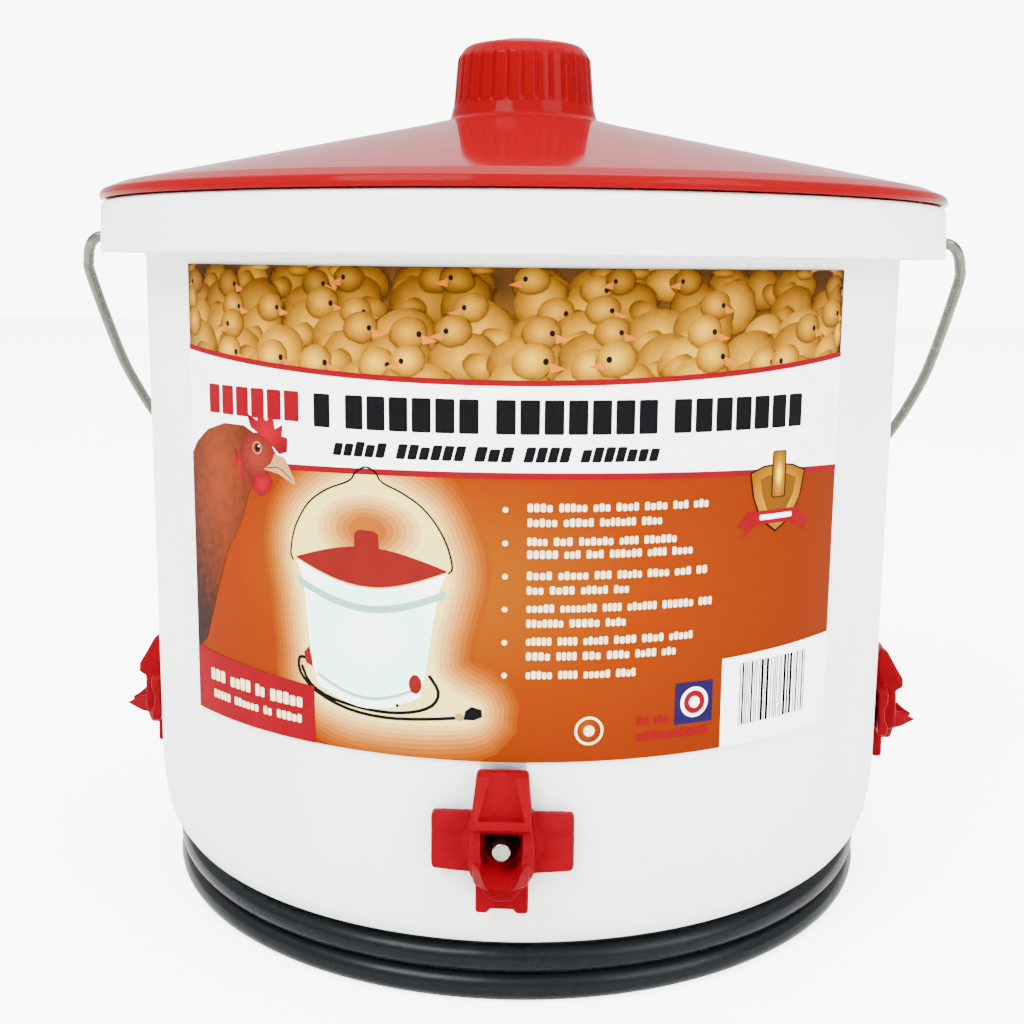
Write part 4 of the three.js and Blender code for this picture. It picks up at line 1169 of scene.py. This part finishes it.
def makeNippleBody(side):
    shape = nippleShape
    bm = bmesh.new()
    back, front = shape["flangeBack"], shape["flangeFace"]
    outlinePrism(bm, [tuple(p) for p in crossCorners()], front - back,
                 outwards @ Matrix.Translation((0, 0, back)),
                          0.7)
    bmesh.ops.triangulate(bm, faces=[face for face in bm.faces if len(face.verts) > 4])
    for cut in range(-16, 17, 2):
        bmesh.ops.bisect_plane(bm, geom=list(bm.verts) + list(bm.edges) + list(bm.faces),
                               plane_co=(0, cut, 0), plane_no=(0, 1, 0))
    for vert in bm.verts:
        vert.co.x = math.sqrt(vert.co.x ** 2 - vert.co.y ** 2)   # the flange follows the wall's curve
    cup = softOutline([(-8.3, 7, 0), (-8.8, -1, 6), (-8.3, -7, 2.4), (-2.8, -14, 2.4), (2.8, -14, 2.4),
                       (8.3, -7, 2.4), (8.8, -1, 6), (8.3, 7, 0)], 4)
    outlinePrism(bm, [tuple(p) for p in cup], shape["cupFace"] - 125,
                 outwards @ Matrix.Translation((0, 0, 125)), 0.9)
    # the awning sweeps out from the post, and is scooped out below
    awning = softOutline([(125.5, 18.6, 0), (128.6, 18.4, 1), (131.6, 13, 6), (134.3, 8.6, 2), (133.8, 6, 1),
                          (131.6, 4.8, 1), (125.5, 4.4, 0)], 4)
    verts = outlinePrism(bm, [tuple(p) for p in awning], 13.8, sideways @ Matrix.Translation((0, 0, -6.9)), 0)
    for vert in verts:
        vert.co.y *= 1 + 0.2 * (1 - smoothStep(6.4, 8.6, vert.co.z))
    tongue = softOutline([(126, -2.2, 0), (131, -2.9, 3), (137.5, -3.4, 6), (141.3, -4.4, 1.6),
                          (141.2, -6.6, 1.6), (134, -8.4, 8), (126, -9.4, 0)], 5)
    verts = outlinePrism(bm, [tuple(p) for p in tongue], 16.6, sideways @ Matrix.Translation((0, 0, -8.3)), 0)
    for vert in verts:
        vert.co.y *= 1 - 0.74 * smoothStep(129, 143.5, vert.co.x)
        # a gutter runs down the middle of the tongue
        if vert.co.z > -5:
            vert.co.z -= 0.2
    rodMesh(bm, (105, 0, 0), (127, 0, 0), 6.2, sides=64)
    for x in (107, 109.4, 111.8, 114.2):
        rodMesh(bm, (x, 0, 0), (x + 1, 0, 0), 6.15, 6.15, sides=64)
    bmesh.ops.recalc_face_normals(bm, faces=bm.faces)
    bmesh.ops.scale(bm, vec=(mm, mm, mm), verts=bm.verts)
    piece = makePiece("nipple_shell_" + side, bm, paints["nippleRed"], None)
    remesh = piece.modifiers.new("oneSkin", "REMESH")
    remesh.mode = "VOXEL"
    remesh.voxel_size = shape["voxel"] * mm
    soften = piece.modifiers.new("soften", "CORRECTIVE_SMOOTH")
    soften.factor = 0.5
    soften.iterations = 6
    soften.use_only_smooth = True
    applyModifiers(piece)
    cutters = [cutterRod((0.104, 0, 0), (0.1132, 0, 0), 4.8 * mm),
               cutterRod((0.112, 0, 0), (0.1285, 0, 0), 3.3 * mm, 5.0 * mm),
               cutterRod((0.1296, 0, 0.0232), (0.1374, 0, 0.0108), 3.9 * mm, 7.2 * mm)]
    # the mouth is square above the pin and round below it, and opens onto the tongue
    mouth = bmesh.new()
    corners = [(5.1, 4.2)] + [(5.1 * math.cos(math.radians(turn)), -1 + 5.1 * math.sin(math.radians(turn)))
                              for turn in range(0, -181, -15)] + [(-5.1, 4.2)]
    verts = outlinePrism(mouth, corners, 24, outwards @ Matrix.Translation((0, 0, 127.6)), 0)
    for vert in verts:
        if vert.co.x > 149:
            vert.co.y *= 1.5
            vert.co.z = vert.co.z * 1.45 - 0.3
    bmesh.ops.recalc_face_normals(mouth, faces=mouth.faces)
    bmesh.ops.scale(mouth, vec=(mm, mm, mm), verts=mouth.verts)
    cutters.append(makePiece("cutter", mouth, paints["steel"], None))
    cutWith(piece, cutters)
    bm = bmesh.new()
    bm.from_mesh(piece.data)
    for vert in bm.verts:
        x, y, z = vert.co / mm
        if abs(y) > 8.6 and x > math.sqrt(126.4 ** 2 - y * y):
            # a shallow hollow runs along each arm
            dip = smoothStep(8.6, 11, abs(y)) * (1 - smoothStep(1.6, 4.4, abs(z + 0.4)))
            vert.co.x -= 1.0 * dip * mm
    bmesh.ops.transform(bm, matrix=Matrix.Translation((0, 0, pailShape["nippleZ"] * mm))
                        @ Matrix.Rotation(math.radians(nippleSides[side]), 4, "Z"), verts=bm.verts)
    markSmooth(bm, 40)
    bm.to_mesh(piece.data)
    bm.free()
    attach(piece, "fount")
    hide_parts("nipple_body_" + side)


def makeNipplePin(side):
    bm = bmesh.new()
    path = softOutline([(0, 110.2, 0), (4.1, 110.2, 0.3), (4.1, 111.7, 0.3), (2.45, 111.7, 0.2),
                        (2.45, 133.3, 0.5), (0, 133.3, 0)], 4)
    spinOutline(bm, path, 64)
    place = (Matrix.Translation((0, 0, pailShape["nippleZ"] * mm))
             @ Matrix.Rotation(math.radians(nippleSides[side]), 4,
                               "Z") @ Matrix.Rotation(math.pi / 2, 4, "Y"))
    bmesh.ops.transform(bm, matrix=place, verts=bm.verts)
    piece = makePiece("trigger_pin_" + side, bm, paints["steel"], "pin_%s_body" % side,
                      ["nipple_pin_" + side])


for side in nippleSides:
    makeNippleBody(side)
    makeNipplePin(side)
print("nipples moulded")


# plug and strain relief
plugShape = {
    "place": (6, 131.5, 9.6),
    "turned": -4,
    "halfHeight": 9.1,
    "edge": 2.2,
    "gripRings": 6,
    "bladeOffset": 6.35,
}
reliefShape = {
    "innerEnd": -18.6,
    "innerZ": 6.4,
    "outerZ": 4.9,
    "ribs": 6,
    "ribPitch": 2.2,
}


def boxMesh(bm, low, high):
    made = bmesh.ops.create_cube(bm, size=1)["verts"]
    for vert in made:
        vert.co = Vector(low[i] + (vert.co[i] + 0.5) * (high[i] - low[i]) for i in range(3))
    return made


def makePlug():
    shape = plugShape
    place = (Matrix.Translation(Vector(shape["place"]) * mm)
             @ Matrix.Rotation(math.radians(shape["turned"]), 4, "Z") @ Matrix.Scale(mm, 4))
    half = [(20, -7, 1), (25, -12, 2), (31, -13, 4), (48, -13, 1.5), (50, -11.5, 0.8)]
    ring = half + [(x, -y, radius) for x, y, radius in half[::-1]]
    outline = [tuple(p) for p in softOutline([ring[-1]] + ring + [ring[0]], 4)[1:-1]]
    bm = bmesh.new()
    for flip in (1, -1):
        outlinePrism(bm, outline, shape["halfHeight"], Matrix.Scale(flip, 4, (0, 0, 1)), shape["edge"], 5)
    inner = [face for face in bm.faces if all(abs(vert.co.z) < 1e-5 for vert in face.verts)]
    bmesh.ops.delete(bm, geom=inner, context="FACES_ONLY")
    bmesh.ops.remove_doubles(bm, verts=bm.verts, dist=1e-4)
    rodMesh(bm, (0, 0, 0), (21.5, 0, 0), 5.0, 6.2, 48)
    for i in range(shape["gripRings"]):
        x = 2.4 + 3.2 * i
        made = rodMesh(bm, (x, 0, 0), (x + 1.9, 0, 0), 5.9 + 0.16 * i, 5.9 + 0.16 * i, 48)
        rims = dict.fromkeys(edge for vert in made for edge in vert.link_edges
                             if abs(edge.verts[0].co.x - edge.verts[1].co.x) < 1e-4)
        bmesh.ops.bevel(bm, geom=list(rims), offset=0.5, affect="EDGES", segments=3, profile=0.5, material=-1)
    for side in (-1, 1):
        for x in (33.5, 37, 40.5):
            made = boxMesh(bm, (x, -7.5, side * 8.6 - 0.45), (x + 1.4, 7.5, side * 8.6 + 0.75))
            if side < 0:
                bmesh.ops.translate(bm, vec=(0, 0, -0.3), verts=made)
            rims = dict.fromkeys(edge for vert in made for edge in vert.link_edges)
            bmesh.ops.bevel(bm, geom=list(rims), offset=0.3, affect="EDGES", segments=3, profile=0.5,
                            material=-1)
    bmesh.ops.recalc_face_normals(bm, faces=bm.faces)
    bmesh.ops.transform(bm, matrix=place, verts=bm.verts)
    piece = makePiece("plug_shell", bm, paints["plugVinyl"], "fount", ["plug_body"])
    cutters = [cutterRod(place @ Vector((42.8, 0, -4.6)), place @ Vector((53, 0, -4.6)), 2.65 * mm)]
    for side in (-1, 1):
        slot = bmesh.new()
        y = side * shape["bladeOffset"]
        boxMesh(slot, (42.8, y - 1.1, -3.2), (53, y + 1.1, 3.8))
        bmesh.ops.transform(slot, matrix=place, verts=slot.verts)
        cutters.append(makePiece("cutter", slot, paints["steel"], None))
    cutWith(piece, cutters)
    return piece


def makeRelief():
    shape, line = reliefShape, cordFacts["pocketDistance"]
    tip = cordFacts["reliefTip"]

    def at(x):
        share = (x - shape["innerEnd"]) / (tip - shape["innerEnd"])
        return pocketPoint(x, line, shape["innerZ"] + (shape["outerZ"] - shape["innerZ"]) * share)

    bm = bmesh.new()
    rodMesh(bm, at(shape["innerEnd"]), at(tip), 4.7 * mm, 4.2 * mm, 48)
    rings = [(-18.8, -16.4, 6.1), (-13.6, -12, 5.7)]
    rings += [(-1 + i * shape["ribPitch"], 0.2 + i * shape["ribPitch"],
               4.95 - 0.06 * i) for i in range(shape["ribs"])]
    for start, end, radius in rings:
        made = rodMesh(bm, at(start), at(end), radius * mm, radius * mm, 48)
        along = (at(end) - at(start)).normalized()
        rims = dict.fromkeys(edge for vert in made for edge in vert.link_edges
                             if abs((edge.verts[0].co - edge.verts[1].co).dot(along)) < 1e-6)
        bmesh.ops.bevel(bm, geom=list(rims), offset=0.3 * mm, affect="EDGES", segments=3, profile=0.5,
                        material=-1)
    piece = makePiece("strain_sleeve", bm, paints["plugVinyl"], "fount", ["strain_relief"])
    return piece


plugPiece = makePlug()
reliefPiece = makeRelief()
print("plug moulded")


# pieces kept as the frame has them
keptPaint = {
    "whitePlastic": ["base_pan"],
    "nippleRed": ["nipple_nut_", "nipple_cap_", "nipple_gasket_"],
    "rubber": ["nipple_seal_"],
    "steel": ["pan_screw_", "nipple_spring_", "thermostat_bracket", "thermal_fuse"],
    "aluminium": ["heat_spreader", "heating_element"],
    "fibre": ["insulation_pad"],
    "bakelite": ["thermostat"],
    "whiteLead": ["crimp_", "wire_element", "wire_neutral"],
    "cordVinyl": ["wire_live", "wire_fuse"],
    "greenLead": ["wire_ground"],
    "brass": ["plug_blade_", "plug_ground_pin"],
}
for paint, starts in keptPaint.items():
    for name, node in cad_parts.items():
        exact = name in starts
        family = any(name.startswith(start) for start in starts if start.endswith("_") or name[:-6] == start)
        if exact or family:
            node.data.materials.clear()
            node.data.materials.append(paints[paint])
print("kept pieces painted")
